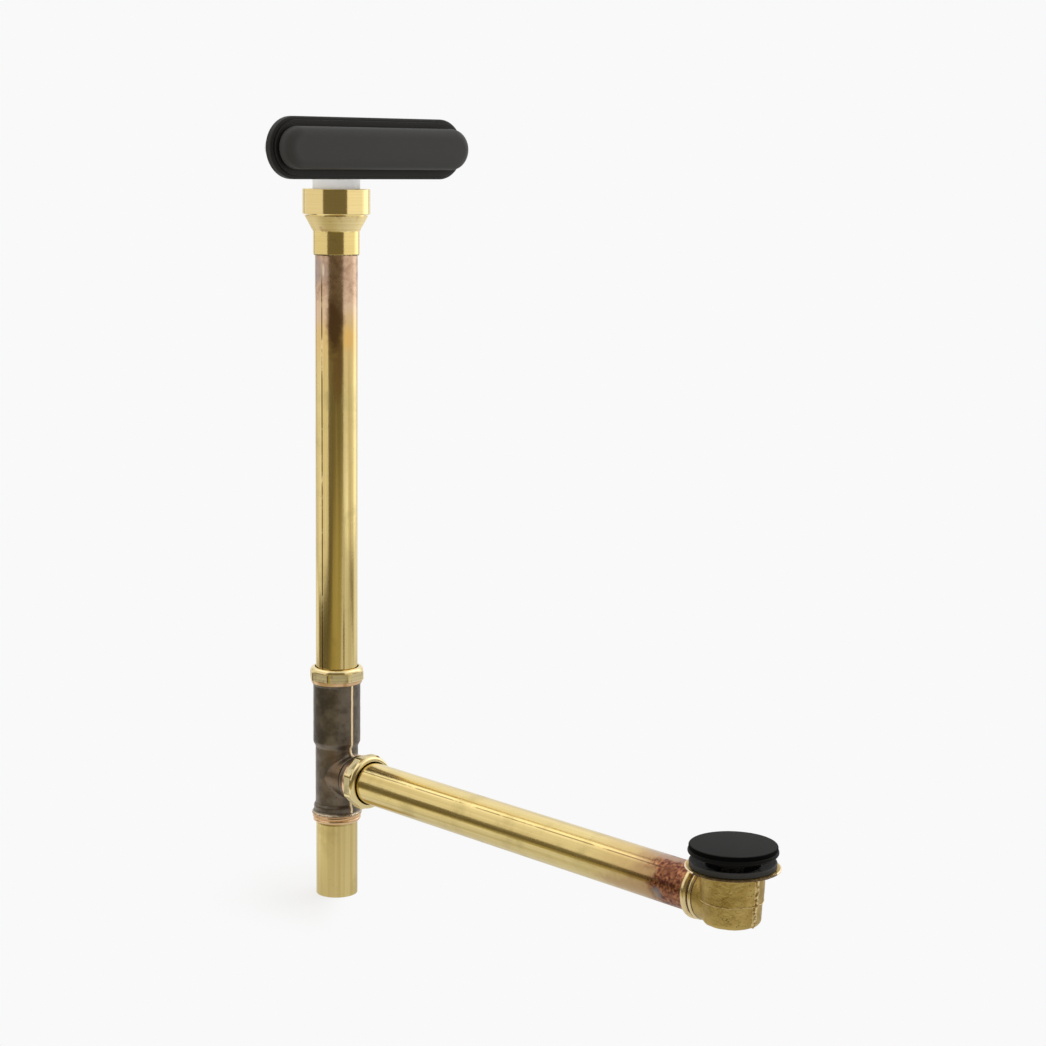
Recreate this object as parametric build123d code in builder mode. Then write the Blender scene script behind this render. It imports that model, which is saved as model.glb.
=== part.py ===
from build123d import *
import os

os.makedirs("parts", exist_ok=True)

# Bath waste and overflow, in millimetres.
# The origin is the centre of the tailpiece's trap end. +Z is up along the overflow tube, and the bath,
# with the overflow face and the drain, lies towards -Y.

# Layout
branch_height = 115.0       # trap end to the waste tube's axis
waste_reach = 485.0         # overflow tube's axis to the drain's axis
overflow_height = 684.6     # trap end to the middle of the overflow
face_reach = 40.0           # overflow tube's axis to the back of the escutcheon

# Brass tube and its sockets
tube_od = 38.1
tube_wall = 1.2
slip_gap = 0.2              # radial room between a tube and its socket
tailpiece_swage = 0.25      # taken off the tailpiece's radius inside the tee
tailpiece_swage_length = 2.0

# Cast tee, measured from the middle of its branch
tee_run_wall = 3.0          # narrow part of the casting
tee_branch_wall = 2.3
tee_socket_wall = 2.35
tee_step_start = 25.8       # the casting widens into its sockets here
tee_step_end = 30.0
tee_run_reach = 97.4        # to the end of the upper socket
tee_branch_reach = 47.5     # to the end of the branch socket
tee_outlet_reach = 45.0     # to the end of the outlet thread
tee_bore_step = 1.25        # casting's bore inside the tube's bore
tee_upper_shoulder = 48.0   # stops the overflow tube
tee_branch_shoulder = 25.0  # stops the waste tube
tee_outlet_depth = 12.0     # length of tailpiece inside the outlet
tube_end_room = 2.0         # tubes stop short of the shoulders
tee_saddle_fillet = 3.0
parting_ridge_height = 0.45
parting_ridge_width = 1.5

# Slip thread on the sockets, and its crests at the outlet
thread_crest = 0.7          # thread above the socket wall
thread_length = 12.6
outlet_bead_wall = 1.85     # each outlet wall stands outside the socket's radius
outlet_bead_top = 27.5      # below the branch axis
outlet_bead_bottom = 34.5
outlet_bead_run = 2.4
outlet_rim_wall = 4.25
outlet_rim_drop = 37.2
outlet_crests = 2
outlet_crest_wall = 4.05
outlet_crest_height = 1.0
outlet_taper_wall = 1.35

# Octagonal slip nut, measured from the end of its socket
slip_nut_sides = 8
slip_nut_corner_wall = 3.35 # nut's walls stand outside the thread's radius
slip_nut_skirt = 11.6       # behind the socket's end
slip_nut_skirt_wall = 1.4
slip_nut_flats_start = 8.1
slip_nut_flats_end = 0.2
slip_nut_corner_chamfer = 1.2
slip_nut_bead_wall = 1.9
slip_nut_front = 3.4
slip_nut_mouth_wall = 1.1    # round the nut's bore
slip_nut_lip = 1.8
slip_nut_bore_gap = 0.45
thread_gap = 0.2            # radial room between nut and thread
slip_washer_chamfer = 1.0

# Overflow adaptor, ring nut and washer
adaptor_collar_wall = 1.55
adaptor_collar_length = 22.6
adaptor_drop = 95.3         # overflow's middle down to the collar's lower edge
adaptor_socket_depth = 20.0
adaptor_cone_length = 15.6
adaptor_cup_wall = 6.0
adaptor_neck_step = 0.05    # neck inside the tube's bore
adaptor_thread_length = 13.5
spigot_r = 21.15
spigot_wall = 2.5
spigot_gap = 0.35           # radial room round the spigot
ring_nut_wall = 2.8
ring_nut_height = 20.3
ring_nut_gap = 0.9          # open line between the nut and the cone
ring_nut_chamfer = 2.2
ring_nut_edge = 0.6
ring_nut_lip = 4.0
overflow_washer_height = 4.0

# Overflow housing
housing_half_length = 88.0
housing_half_height = 20.0
housing_back_half_length = 40.0
housing_back = 23.5         # behind the tube's axis
housing_wall = 2.4
housing_fillet = 5.0
housing_flange_end = 8.0    # flange past the housing's end
housing_flange_side = 3.5   # flange past the housing's side
housing_flange = 4.0
lug_r = 9.0
lug_offset = 4.0            # housing's end to the lug's middle
lug_depth = 8.0
gasket_thickness = 3.0
gasket_margin = 4.0         # gasket hole inside the housing's outline

# Escutcheon and cover
plate_end = 12.2            # escutcheon past the flange's end
plate_side = 3.0            # escutcheon past the flange's side
plate_rim = 7.5             # back to the front of the rim
plate_rim_round = 2.2
plate_land = 10.0           # back to the front of the raised land
plate_land_inset = 3.0
plate_land_round = 0.5
plate_slot_margin = 4.0     # escutcheon's slot inside the gasket's hole
cover_end = 4.7             # cover inside the escutcheon's end
cover_side = 8.4            # cover inside the escutcheon's side
cover_back = 12.4           # escutcheon's back to the cover's rear edge
cover_front = 25.4          # escutcheon's back to the cover's face
cover_round = 9.0
cover_wall = 2.4
cover_rear_round = 0.5
cover_post_inset = 24.0     # slot's end to a post's middle
cover_post_wall = 0.6       # between the slot and a post's hole
cover_post_r = 2.4
cover_post_gap = 0.2
cover_post_short = 6.0      # post's end behind the cover's face
screw_r = 2.3
screw_gap = 0.2
screw_head_r = 4.6
screw_head_height = 2.8
screw_seat = 6.4            # escutcheon's back to the screw's seat
screw_slot_width = 1.2
screw_slot_depth = 1.1

# Shoe, measured from the waste tube's axis
shoe_flange_margin = 3.4    # shoe's flange past the drain flange
shoe_flange = 1.4
shoe_top = 27.3
shoe_flange_round = 0.4
shoe_body_wall = 2.2
shoe_step = 1.0
shoe_step_wall = 1.2
shoe_step_in = 0.8
shoe_floor_in = 0.6         # floor's radius inside the barrel's bore
shoe_floor = 17.8
shoe_floor_round = 4.0
shoe_wall = 3.2
shoe_neck_wall = 2.35
shoe_collar_back = 35.0     # drain's axis to the collar's open end
shoe_collar_wall = 3.75
shoe_collar_length = 6.0
shoe_groove_wall = 1.95
shoe_groove_length = 1.6
shoe_bead_wall = 3.15
shoe_bead_length = 3.4
shoe_socket_depth = 12.0
shoe_neck_step = 0.65       # neck's bore inside the tube's bore

# Drain flange and the rubber ring under it
shoe_washer_thickness = 0.5
shoe_washer_inset = 0.5
drain_rim_wall = 11.1       # drain flange past its barrel
drain_flange_height = 4.2
drain_rim = 1.2
drain_rim_round = 0.8
drain_dish_wall = 0.1
drain_dish_depth = 3.5
barrel_r = 23.0
barrel_wall = 1.6
barrel_length = 21.4
barrel_gap = 0.4            # radial room inside the shoe
cross_bar_width = 5.0
cross_bar_height = 3.5
boss_r = 6.5
boss_height = 4.5

# Push stopper, measured from the drain flange's rim
stopper_travel = 5.0
closed_gap = 0.3            # left between seal and rim when it is shut
cap_past_drain = 0.5        # cap past the drain flange
cap_height = 3.3
cap_round = 1.5
cap_stem_r = 4.0
cap_stem_length = 2.2
seal_past_cap = 0.75
seal_height = 4.3
seal_inner_r = 20.0
seal_step = 0.15
retainer_lip = 3.5          # retainer under the seal
retainer_lip_height = 1.2
retainer_seat = 3.5         # seal to the sleeve's shoulder
retainer_skirt = 5.1        # seal to the skirt's lower edge
retainer_wall = 2.0
sleeve_r = 8.6
sleeve_wall = 1.7
sleeve_shoulder_r = 11.5
sleeve_shoulder = 2.0
sleeve_lip = 3.2
running_gap = 0.3           # radial room between what slides and what stands
post_r = 4.0
post_thread_r = 4.6
post_collar_r = 6.0
post_collar = 2.0
post_head = 1.4
post_head_r = 5.2
cam_height = 3.4
cam_teeth = 8
cam_tooth_height = 1.0
spring_wire = 0.9
spring_turns = 5
spring_gap = 0.1            # left at each end of the spring
part_gap = 0.3              # plain room between neighbours in the stopper

# Radii that several pieces share
tube_r = tube_od / 2
tube_bore_r = tube_r - tube_wall
socket_r = tube_r + slip_gap
tee_socket_r = socket_r + tee_socket_wall
thread_r = tee_socket_r + thread_crest
drain_r = barrel_r + drain_rim_wall
cap_r = drain_r + cap_past_drain

# Outlines that the overflow's pieces share
flange_half_length = housing_half_length + housing_flange_end
flange_half_height = housing_half_height + housing_flange_side
plate_half_length = flange_half_length + plate_end
plate_half_height = flange_half_height + plate_side
gasket_half_length = housing_half_length - gasket_margin
gasket_half_height = housing_half_height - gasket_margin
slot_half_length = gasket_half_length - plate_slot_margin
slot_half_height = gasket_half_height - plate_slot_margin
cover_half_length = plate_half_length - cover_end
cover_half_height = plate_half_height - cover_side
cover_post_x = slot_half_length - cover_post_inset
cover_post_z = slot_half_height + cover_post_wall + cover_post_r
lug_x = housing_half_length + lug_offset

# Axes that the pieces are built on
run = Plane((0, 0, branch_height), x_dir=(1, 0, 0), z_dir=(0, 0, 1))
branch = Plane((0, 0, branch_height), x_dir=(1, 0, 0), z_dir=(0, -1, 0))
drain = Plane((0, -waste_reach, branch_height), x_dir=(1, 0, 0), z_dir=(0, 0, 1))
trap = Plane.XY
face = Plane((0, -face_reach, overflow_height), x_dir=(1, 0, 0), z_dir=(0, -1, 0))


def section(frame: Plane) -> Plane:
    """Plane through a frame's axis, with the radius along its x and the height along its y."""
    return Plane(frame.origin, x_dir=frame.x_dir, z_dir=-frame.y_dir)


def parting(frame: Plane) -> Plane:
    """Plane that halves a casting's mould, with -Y along its x and the height along its y."""
    return Plane(frame.origin, x_dir=(0, -1, 0), z_dir=(-1, 0, 0))


def spin(frame: Plane, outline: list, mode: Mode = Mode.ADD) -> None:
    """Revolve a closed (radius, height) outline about a frame's axis."""
    with BuildSketch(section(frame)) as profile:
        with BuildLine():
            Polyline(outline, close=True)
        make_face()
    revolve(profile.sketch, axis=Axis(frame.origin, frame.z_dir), mode=mode)


def ring(frame: Plane, inner: float, outer: float, low: float, high: float, mode: Mode = Mode.ADD) -> None:
    """Add or cut a plain ring between two radii and two heights along a frame's axis."""
    spin(frame, [(inner, low), (outer, low), (outer, high), (inner, high)], mode)


def stadium(frame: Plane, half_length: float, half_height: float,
            low: float, high: float, mode: Mode = Mode.ADD) -> None:
    """Add or cut a long round-ended block along a frame's axis."""
    with BuildSketch(frame.offset(low)) as outline:
        SlotOverall(2 * half_length, 2 * half_height)
    extrude(outline.sketch, amount=high - low, mode=mode)


def finish(part: Part, name: str) -> None:
    """Label a piece and write it."""
    part.label = name
    export_step(part, f"parts/{name}.step")


# Tailpiece: plain tube from the trap end, swaged down into the tee's outlet
tailpiece_end_r = tube_r - tailpiece_swage
outlet_end = branch_height - tee_outlet_reach
with BuildPart() as tailpiece:
    spin(trap, [
        (tube_bore_r, 0),
        (tube_r, 0),
        (tube_r, outlet_end - tailpiece_swage_length),
        (tailpiece_end_r, outlet_end),
        (tailpiece_end_r, outlet_end + tee_outlet_depth),
        (tube_bore_r, outlet_end + tee_outlet_depth),
    ])
finish(tailpiece.part, "tailpiece")

# Tee: one casting with two slip sockets, a branch saddle and a threaded outlet
tee_bore_r = tube_bore_r - tee_bore_step
tee_run_r = tee_bore_r + tee_run_wall
tee_branch_r = tee_bore_r + tee_branch_wall
outlet_socket_r = tailpiece_end_r + slip_gap
outlet_bead_r = socket_r + outlet_bead_wall
outlet_rim_r = socket_r + outlet_rim_wall
outlet_crest_r = socket_r + outlet_crest_wall
outlet_taper_r = socket_r + outlet_taper_wall


def socket_outline(body_r: float, low: float, reach: float) -> list:
    """Outer outline of a slip socket that grows out of a body, with its thread at the end."""
    thread_start = reach - thread_length
    return [
        (0, low),
        (body_r, low),
        (body_r, tee_step_start),
        (tee_socket_r, tee_step_end),
        (tee_socket_r, thread_start - thread_crest),
        (thread_r, thread_start),
        (thread_r, reach - thread_crest),
        (tee_socket_r, reach),
        (0, reach),
    ]


with BuildPart() as tee:
    spin(run, socket_outline(tee_run_r, -outlet_bead_top, tee_run_reach))
    spin(branch, socket_outline(tee_branch_r, 0, tee_branch_reach))
    curved_edges = tee.edges().filter_by(GeomType.BSPLINE)
    saddle = [e for e in curved_edges if abs(e.center().Z - branch_height) < tee_run_r]
    fillet(saddle, tee_saddle_fillet)
    spin(run, [
        (0, -outlet_bead_top),
        (tee_run_r, -outlet_bead_top),
        (outlet_bead_r, -outlet_bead_top - outlet_bead_run),
        (outlet_bead_r, -outlet_bead_bottom),
        (outlet_rim_r, -outlet_rim_drop),
        (outlet_crest_r - outlet_crest_height, -outlet_rim_drop),
        (outlet_crest_r - outlet_crest_height, -tee_outlet_reach + outlet_crest_height),
        (outlet_taper_r, -tee_outlet_reach),
        (0, -tee_outlet_reach),
    ])
    crest_pitch = (tee_outlet_reach - outlet_rim_drop) / outlet_crests
    for crest in range(outlet_crests):
        crest_mid = -outlet_rim_drop - crest_pitch * (crest + 0.5)
        crest_root_r = outlet_crest_r - outlet_crest_height * (1 + crest / outlet_crests)
        crest_tip_r = crest_root_r + outlet_crest_height
        spin(run, [
            (crest_root_r - outlet_crest_height, crest_mid - crest_pitch / 2),
            (crest_root_r, crest_mid - crest_pitch / 2),
            (crest_tip_r, crest_mid),
            (crest_root_r, crest_mid + crest_pitch / 2),
            (crest_root_r - outlet_crest_height, crest_mid + crest_pitch / 2),
        ])
    with BuildSketch(parting(run)):
        with BuildLine():
            Polyline([
                (-tee_run_r - parting_ridge_height, -outlet_bead_top),
                (tee_run_r + parting_ridge_height, -outlet_bead_top),
                (tee_run_r + parting_ridge_height, tee_step_start),
                (tee_socket_r + parting_ridge_height, tee_step_end),
                (tee_socket_r + parting_ridge_height, tee_run_reach - thread_length - thread_crest),
                (-tee_socket_r - parting_ridge_height, tee_run_reach - thread_length - thread_crest),
                (-tee_socket_r - parting_ridge_height, tee_step_end),
                (-tee_run_r - parting_ridge_height, tee_step_start),
            ], close=True)
        make_face()
        with BuildLine():
            Polyline([
                (0, -tee_branch_r - parting_ridge_height),
                (tee_step_start, -tee_branch_r - parting_ridge_height),
                (tee_step_end, -tee_socket_r - parting_ridge_height),
                (tee_branch_reach - thread_length - thread_crest, -tee_socket_r - parting_ridge_height),
                (tee_branch_reach - thread_length - thread_crest, tee_socket_r + parting_ridge_height),
                (tee_step_end, tee_socket_r + parting_ridge_height),
                (tee_step_start, tee_branch_r + parting_ridge_height),
                (0, tee_branch_r + parting_ridge_height),
            ], close=True)
        make_face()
    extrude(amount=parting_ridge_width / 2, both=True)
    ring(run, 0, tee_bore_r, -tee_outlet_reach, tee_run_reach, Mode.SUBTRACT)
    ring(run, 0, socket_r, tee_upper_shoulder, tee_run_reach, Mode.SUBTRACT)
    ring(run, 0, outlet_socket_r, -tee_outlet_reach, -tee_outlet_reach + tee_outlet_depth, Mode.SUBTRACT)
    ring(branch, 0, tee_bore_r, 0, tee_branch_reach, Mode.SUBTRACT)
    ring(branch, 0, socket_r, tee_branch_shoulder, tee_branch_reach, Mode.SUBTRACT)
finish(tee.part, "tee")


# Slip nuts and their bevelled washers, one pair on each socket
slip_nut_corner_r = thread_r + slip_nut_corner_wall
slip_nut_skirt_r = thread_r + slip_nut_skirt_wall
slip_nut_bead_r = thread_r + slip_nut_bead_wall
slip_nut_bore_r = tube_r + slip_nut_bore_gap
slip_nut_mouth_r = slip_nut_bore_r + slip_nut_mouth_wall


def slip_nut(seat: Plane) -> Part:
    """Octagonal nut with a round bead, from its socket's end face."""
    flats = slip_nut_flats_start - slip_nut_flats_end
    with BuildPart() as nut:
        with BuildSketch(seat.offset(-slip_nut_flats_start)):
            RegularPolygon(slip_nut_corner_r, slip_nut_sides, rotation=180 / slip_nut_sides)
        extrude(amount=flats)
        spin(seat, [
            (0, -slip_nut_flats_start),
            (slip_nut_corner_r - slip_nut_corner_chamfer, -slip_nut_flats_start),
            (slip_nut_corner_r, -slip_nut_flats_start + slip_nut_corner_chamfer),
            (slip_nut_corner_r, -slip_nut_flats_end - slip_nut_corner_chamfer),
            (slip_nut_corner_r - slip_nut_corner_chamfer, -slip_nut_flats_end),
            (0, -slip_nut_flats_end),
        ], Mode.INTERSECT)
        spin(seat, [
            (0, -slip_nut_skirt),
            (slip_nut_skirt_r - slip_nut_corner_chamfer / 2, -slip_nut_skirt),
            (slip_nut_skirt_r, -slip_nut_flats_start),
            (slip_nut_skirt_r, -slip_nut_flats_end),
            (0, -slip_nut_flats_end),
        ])
        with BuildSketch(section(seat)):
            with BuildLine():
                Line((0, -slip_nut_flats_end), (slip_nut_bead_r, -slip_nut_flats_end))
                TangentArc(
                    (slip_nut_bead_r, -slip_nut_flats_end),
                    (slip_nut_mouth_r, slip_nut_front),
                    tangent=(0, 1),
                )
                Line((slip_nut_mouth_r, slip_nut_front), (0, slip_nut_front))
                Line((0, slip_nut_front), (0, -slip_nut_flats_end))
            make_face()
        revolve(axis=Axis(seat.origin, seat.z_dir))
        ring(seat, 0, thread_r + thread_gap, -slip_nut_skirt, slip_nut_front - slip_nut_lip, Mode.SUBTRACT)
        ring(seat, 0, slip_nut_bore_r, 0, slip_nut_front, Mode.SUBTRACT)
    return nut.part


def slip_washer(seat: Plane) -> Part:
    """Bevelled ring squeezed between the socket's end and the nut's lip."""
    height = slip_nut_front - slip_nut_lip
    with BuildPart() as washer:
        spin(seat, [
            (socket_r, 0),
            (tee_socket_r, 0),
            (tee_socket_r, height - slip_washer_chamfer),
            (tee_socket_r - slip_washer_chamfer, height),
            (socket_r, height),
        ])
    return washer.part


for side, seat in (("upper", run.offset(tee_run_reach)), ("branch", branch.offset(tee_branch_reach))):
    finish(slip_nut(seat), f"{side}_slip_nut")
    finish(slip_washer(seat), f"{side}_slip_washer")

# Overflow tube: two butted lengths from the tee's upper socket into the adaptor
adaptor_bottom = overflow_height - adaptor_drop
overflow_tube_bottom = branch_height + tee_upper_shoulder + tube_end_room
overflow_tube_top = adaptor_bottom + adaptor_socket_depth
overflow_tube_middle = (overflow_tube_bottom + overflow_tube_top) / 2
with BuildPart() as overflow_tube_lower:
    ring(trap, tube_bore_r, tube_r, overflow_tube_bottom, overflow_tube_middle)
finish(overflow_tube_lower.part, "overflow_tube_lower")

with BuildPart() as overflow_tube_upper:
    ring(trap, tube_bore_r, tube_r, overflow_tube_middle, overflow_tube_top)
finish(overflow_tube_upper.part, "overflow_tube_upper")

# Waste tube: from the tee's branch socket into the shoe
waste_tube_near = tee_branch_shoulder + tube_end_room
waste_tube_far = waste_reach - shoe_collar_back + shoe_socket_depth
with BuildPart() as waste_tube:
    ring(branch, tube_bore_r, tube_r, waste_tube_near, waste_tube_far)
finish(waste_tube.part, "waste_tube")

# Overflow adaptor: collar on the tube, cone and threaded cup
cone_start = adaptor_bottom + adaptor_collar_length
cone_end = cone_start + adaptor_cone_length
adaptor_top = cone_end + adaptor_thread_length
cup_r = spigot_r + spigot_gap
adaptor_collar_r = socket_r + adaptor_collar_wall
adaptor_neck_r = tube_bore_r - adaptor_neck_step
adaptor_cup_r = cup_r + adaptor_cup_wall
adaptor_thread_r = adaptor_cup_r - thread_gap
with BuildPart() as overflow_adaptor:
    spin(trap, [
        (socket_r, adaptor_bottom),
        (adaptor_collar_r, adaptor_bottom),
        (adaptor_collar_r, cone_start),
        (adaptor_cup_r, cone_end),
        (adaptor_thread_r, cone_end + ring_nut_gap),
        (adaptor_thread_r, adaptor_top),
        (cup_r, adaptor_top),
        (cup_r, cone_end - spigot_wall),
        (adaptor_neck_r, cone_start),
        (adaptor_neck_r, overflow_tube_top),
        (socket_r, overflow_tube_top),
    ])
finish(overflow_adaptor.part, "overflow_adaptor")

# Washer and ring nut that close the adaptor on the spigot
ring_nut_bottom = cone_end + ring_nut_gap
ring_nut_top = ring_nut_bottom + ring_nut_height
washer_top = adaptor_top + overflow_washer_height
nut_bore_r = adaptor_cup_r + thread_gap
ring_nut_r = adaptor_cup_r + ring_nut_wall
with BuildPart() as overflow_washer:
    spin(trap, [
        (spigot_r, adaptor_top),
        (adaptor_thread_r, adaptor_top),
        (adaptor_thread_r, washer_top - slip_washer_chamfer),
        (adaptor_thread_r - slip_washer_chamfer, washer_top),
        (spigot_r, washer_top),
    ])
finish(overflow_washer.part, "overflow_washer")

with BuildPart() as overflow_ring_nut:
    spin(trap, [
        (nut_bore_r, ring_nut_bottom),
        (ring_nut_r - ring_nut_chamfer, ring_nut_bottom),
        (ring_nut_r, ring_nut_bottom + ring_nut_chamfer / 2),
        (ring_nut_r, ring_nut_top - ring_nut_edge),
        (ring_nut_r - ring_nut_edge, ring_nut_top),
        (cup_r, ring_nut_top),
        (cup_r, washer_top),
        (nut_bore_r, washer_top),
    ])
finish(overflow_ring_nut.part, "overflow_ring_nut")

# Overflow housing: moulded funnel from the long slot to the round spigot
housing_front = -gasket_thickness
housing_depth = face_reach + housing_back
chamber_start = housing_front - housing_flange
spigot_bottom = cone_end
spigot_bore_r = spigot_r - spigot_wall


def funnel(start: float, end: float, shrink: float, mode: Mode = Mode.ADD) -> None:
    """Add or cut the housing's tapering chamber, smaller all round by the given wall."""
    with BuildSketch(face.offset(start)) as near:
        SlotOverall(2 * (housing_half_length - shrink), 2 * (housing_half_height - shrink))
    with BuildSketch(face.offset(end)) as far:
        SlotOverall(2 * (housing_back_half_length - shrink), 2 * (housing_half_height - shrink))
    loft([near.sketch, far.sketch], mode=mode)


with BuildPart() as overflow_housing:
    funnel(chamber_start, -housing_depth, 0)
    fillet(overflow_housing.faces().sort_by(Axis.Y)[-1].edges(), housing_fillet)
    stadium(face, flange_half_length, flange_half_height, chamber_start, housing_front)
    with BuildSketch(face.offset(housing_front - lug_depth)):
        with Locations((-lug_x, 0), (lug_x, 0)):
            Circle(lug_r)
    extrude(amount=lug_depth)
    ring(trap, 0, spigot_r, spigot_bottom, overflow_height)
    funnel(chamber_start, housing_wall - housing_depth, housing_wall, Mode.SUBTRACT)
    stadium(face, housing_half_length - housing_wall, housing_half_height - housing_wall,
            chamber_start, housing_front, Mode.SUBTRACT)
    ring(trap, 0, spigot_bore_r, spigot_bottom, overflow_height, Mode.SUBTRACT)
    with BuildSketch(face.offset(housing_front - lug_depth)):
        with Locations((-lug_x, 0), (lug_x, 0)):
            Circle(screw_r + screw_gap)
    extrude(amount=lug_depth, mode=Mode.SUBTRACT)
finish(overflow_housing.part, "overflow_housing")

# Gasket between the bath wall and the housing's flange
with BuildPart() as overflow_gasket:
    stadium(face, flange_half_length, flange_half_height, housing_front, 0)
    stadium(face, gasket_half_length, gasket_half_height, housing_front, 0, Mode.SUBTRACT)
    with BuildSketch(face.offset(housing_front)):
        with Locations((-lug_x, 0), (lug_x, 0)):
            Circle(screw_r + screw_gap)
    extrude(amount=gasket_thickness, mode=Mode.SUBTRACT)
finish(overflow_gasket.part, "overflow_gasket")

# Escutcheon: round-edged base plate with a raised land and the overflow slot
with BuildPart() as overflow_escutcheon:
    stadium(face, plate_half_length, plate_half_height, 0, plate_rim)
    fillet(overflow_escutcheon.faces().sort_by(Axis.Y)[0].edges(), plate_rim_round)
    stadium(face, plate_half_length - plate_land_inset, plate_half_height - plate_land_inset, 0, plate_land)
    fillet(overflow_escutcheon.faces().sort_by(Axis.Y)[0].edges(), plate_land_round)
    stadium(face, slot_half_length, slot_half_height, 0, plate_land, Mode.SUBTRACT)
    with BuildSketch(face):
        with GridLocations(2 * cover_post_x, 2 * cover_post_z, 2, 2):
            Circle(cover_post_r + cover_post_gap)
        with Locations((-lug_x, 0), (lug_x, 0)):
            Circle(screw_r + screw_gap)
    extrude(amount=plate_land, mode=Mode.SUBTRACT)
    with BuildSketch(face.offset(screw_seat)):
        with Locations((-lug_x, 0), (lug_x, 0)):
            Circle(screw_head_r + screw_gap)
    extrude(amount=plate_land - screw_seat, mode=Mode.SUBTRACT)
finish(overflow_escutcheon.part, "overflow_escutcheon")

# Screws from the escutcheon into the housing's lugs
with BuildPart() as overflow_screws:
    with BuildSketch(face.offset(housing_front - lug_depth)):
        with Locations((-lug_x, 0), (lug_x, 0)):
            Circle(screw_r)
    extrude(amount=lug_depth - housing_front + screw_seat)
    with BuildSketch(face.offset(screw_seat)):
        with Locations((-lug_x, 0), (lug_x, 0)):
            Circle(screw_head_r)
    extrude(amount=screw_head_height)
    with BuildSketch(face.offset(screw_seat + screw_head_height - screw_slot_depth)):
        with Locations((-lug_x, 0), (lug_x, 0)):
            Rectangle(2 * screw_head_r, screw_slot_width)
    extrude(amount=screw_slot_depth, mode=Mode.SUBTRACT)
finish(overflow_screws.part, "overflow_screws")

# Cover: pillow-shaped shell on four posts
with BuildPart() as overflow_cover:
    stadium(face, cover_half_length, cover_half_height, cover_back, cover_front)
    fillet(overflow_cover.faces().sort_by(Axis.Y)[0].edges(), cover_round)
    cover_mouth = overflow_cover.faces().sort_by(Axis.Y)[-1]
    offset(amount=-cover_wall, openings=cover_mouth)
    fillet(overflow_cover.faces().sort_by(Axis.Y)[-1].outer_wire().edges(), cover_rear_round)
    with BuildSketch(face):
        with GridLocations(2 * cover_post_x, 2 * cover_post_z, 2, 2):
            Circle(cover_post_r)
    extrude(amount=cover_front - cover_post_short)
finish(overflow_cover.part, "overflow_cover")

# Shoe: cast elbow with a clamping flange, a deep bowl and a collar on the tube
shoe_under_flange = shoe_top - shoe_flange
shoe_bore_r = barrel_r + barrel_gap
shoe_flange_r = drain_r + shoe_flange_margin
shoe_body_r = shoe_bore_r + shoe_body_wall
shoe_step_r = shoe_bore_r + shoe_step_wall
shoe_floor_r = shoe_bore_r - shoe_floor_in
shoe_neck_r = socket_r + shoe_neck_wall
shoe_collar_r = socket_r + shoe_collar_wall
shoe_groove_r = socket_r + shoe_groove_wall
shoe_bead_r = socket_r + shoe_bead_wall
shoe_neck_bore_r = tube_bore_r - shoe_neck_step
shoe_bowl_r = shoe_floor_r - shoe_wall
barrel_bottom = shoe_top + shoe_washer_thickness - barrel_length
elbow = Plane(drain.origin, x_dir=(1, 0, 0), z_dir=(0, 1, 0))
collar_start = shoe_collar_back - shoe_collar_length
groove_start = collar_start - shoe_groove_length
bead_start = groove_start - shoe_bead_length
with BuildPart() as shoe:
    spin(drain, [
        (0, -shoe_floor),
        (shoe_floor_r, -shoe_floor),
        (shoe_step_r - shoe_step_in, shoe_step),
        (shoe_step_r, shoe_step),
        (shoe_body_r, shoe_under_flange),
        (0, shoe_under_flange),
    ])
    fillet(shoe.faces().sort_by(Axis.Z)[0].edges(), shoe_floor_round)
    spin(elbow, [
        (0, 0),
        (shoe_neck_r, 0),
        (shoe_neck_r, bead_start),
        (shoe_bead_r, bead_start + shoe_bead_length / 3),
        (shoe_bead_r, groove_start - shoe_bead_length / 3),
        (shoe_groove_r, groove_start),
        (shoe_groove_r, collar_start),
        (shoe_collar_r, collar_start + shoe_collar_length / 4),
        (shoe_collar_r, shoe_collar_back - shoe_collar_length / 4),
        (shoe_collar_r - shoe_collar_length / 4, shoe_collar_back),
        (0, shoe_collar_back),
    ])
    with BuildSketch(parting(drain)):
        with BuildLine():
            Polyline([
                (0, -shoe_floor),
                (shoe_floor_r - shoe_floor_round, -shoe_floor),
                (shoe_floor_r + parting_ridge_height, shoe_floor_round - shoe_floor),
                (shoe_step_r - shoe_step_in + parting_ridge_height, shoe_step),
                (shoe_step_r + parting_ridge_height, shoe_step),
                (shoe_body_r + parting_ridge_height, shoe_under_flange),
                (0, shoe_under_flange),
            ], close=True)
        make_face()
    extrude(amount=parting_ridge_width / 2, both=True)
    ring(drain, 0, shoe_flange_r, shoe_under_flange, shoe_top)
    shoe_rim = shoe.edges().filter_by(GeomType.CIRCLE).group_by(SortBy.RADIUS)[-1]
    fillet(shoe_rim, shoe_flange_round)
    ring(drain, 0, shoe_bowl_r, shoe_wall - shoe_floor, shoe_top, Mode.SUBTRACT)
    ring(drain, 0, shoe_bore_r, barrel_bottom - barrel_gap, shoe_top, Mode.SUBTRACT)
    ring(elbow, 0, shoe_neck_bore_r, 0, shoe_collar_back, Mode.SUBTRACT)
    ring(elbow, 0, socket_r, shoe_collar_back - shoe_socket_depth, shoe_collar_back, Mode.SUBTRACT)
finish(shoe.part, "shoe")

# Rubber ring between the shoe and the drain flange
drain_seat = shoe_top + shoe_washer_thickness
with BuildPart() as shoe_washer:
    ring(drain, shoe_bore_r, drain_r - shoe_washer_inset, shoe_top, drain_seat)
finish(shoe_washer.part, "shoe_washer")

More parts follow.
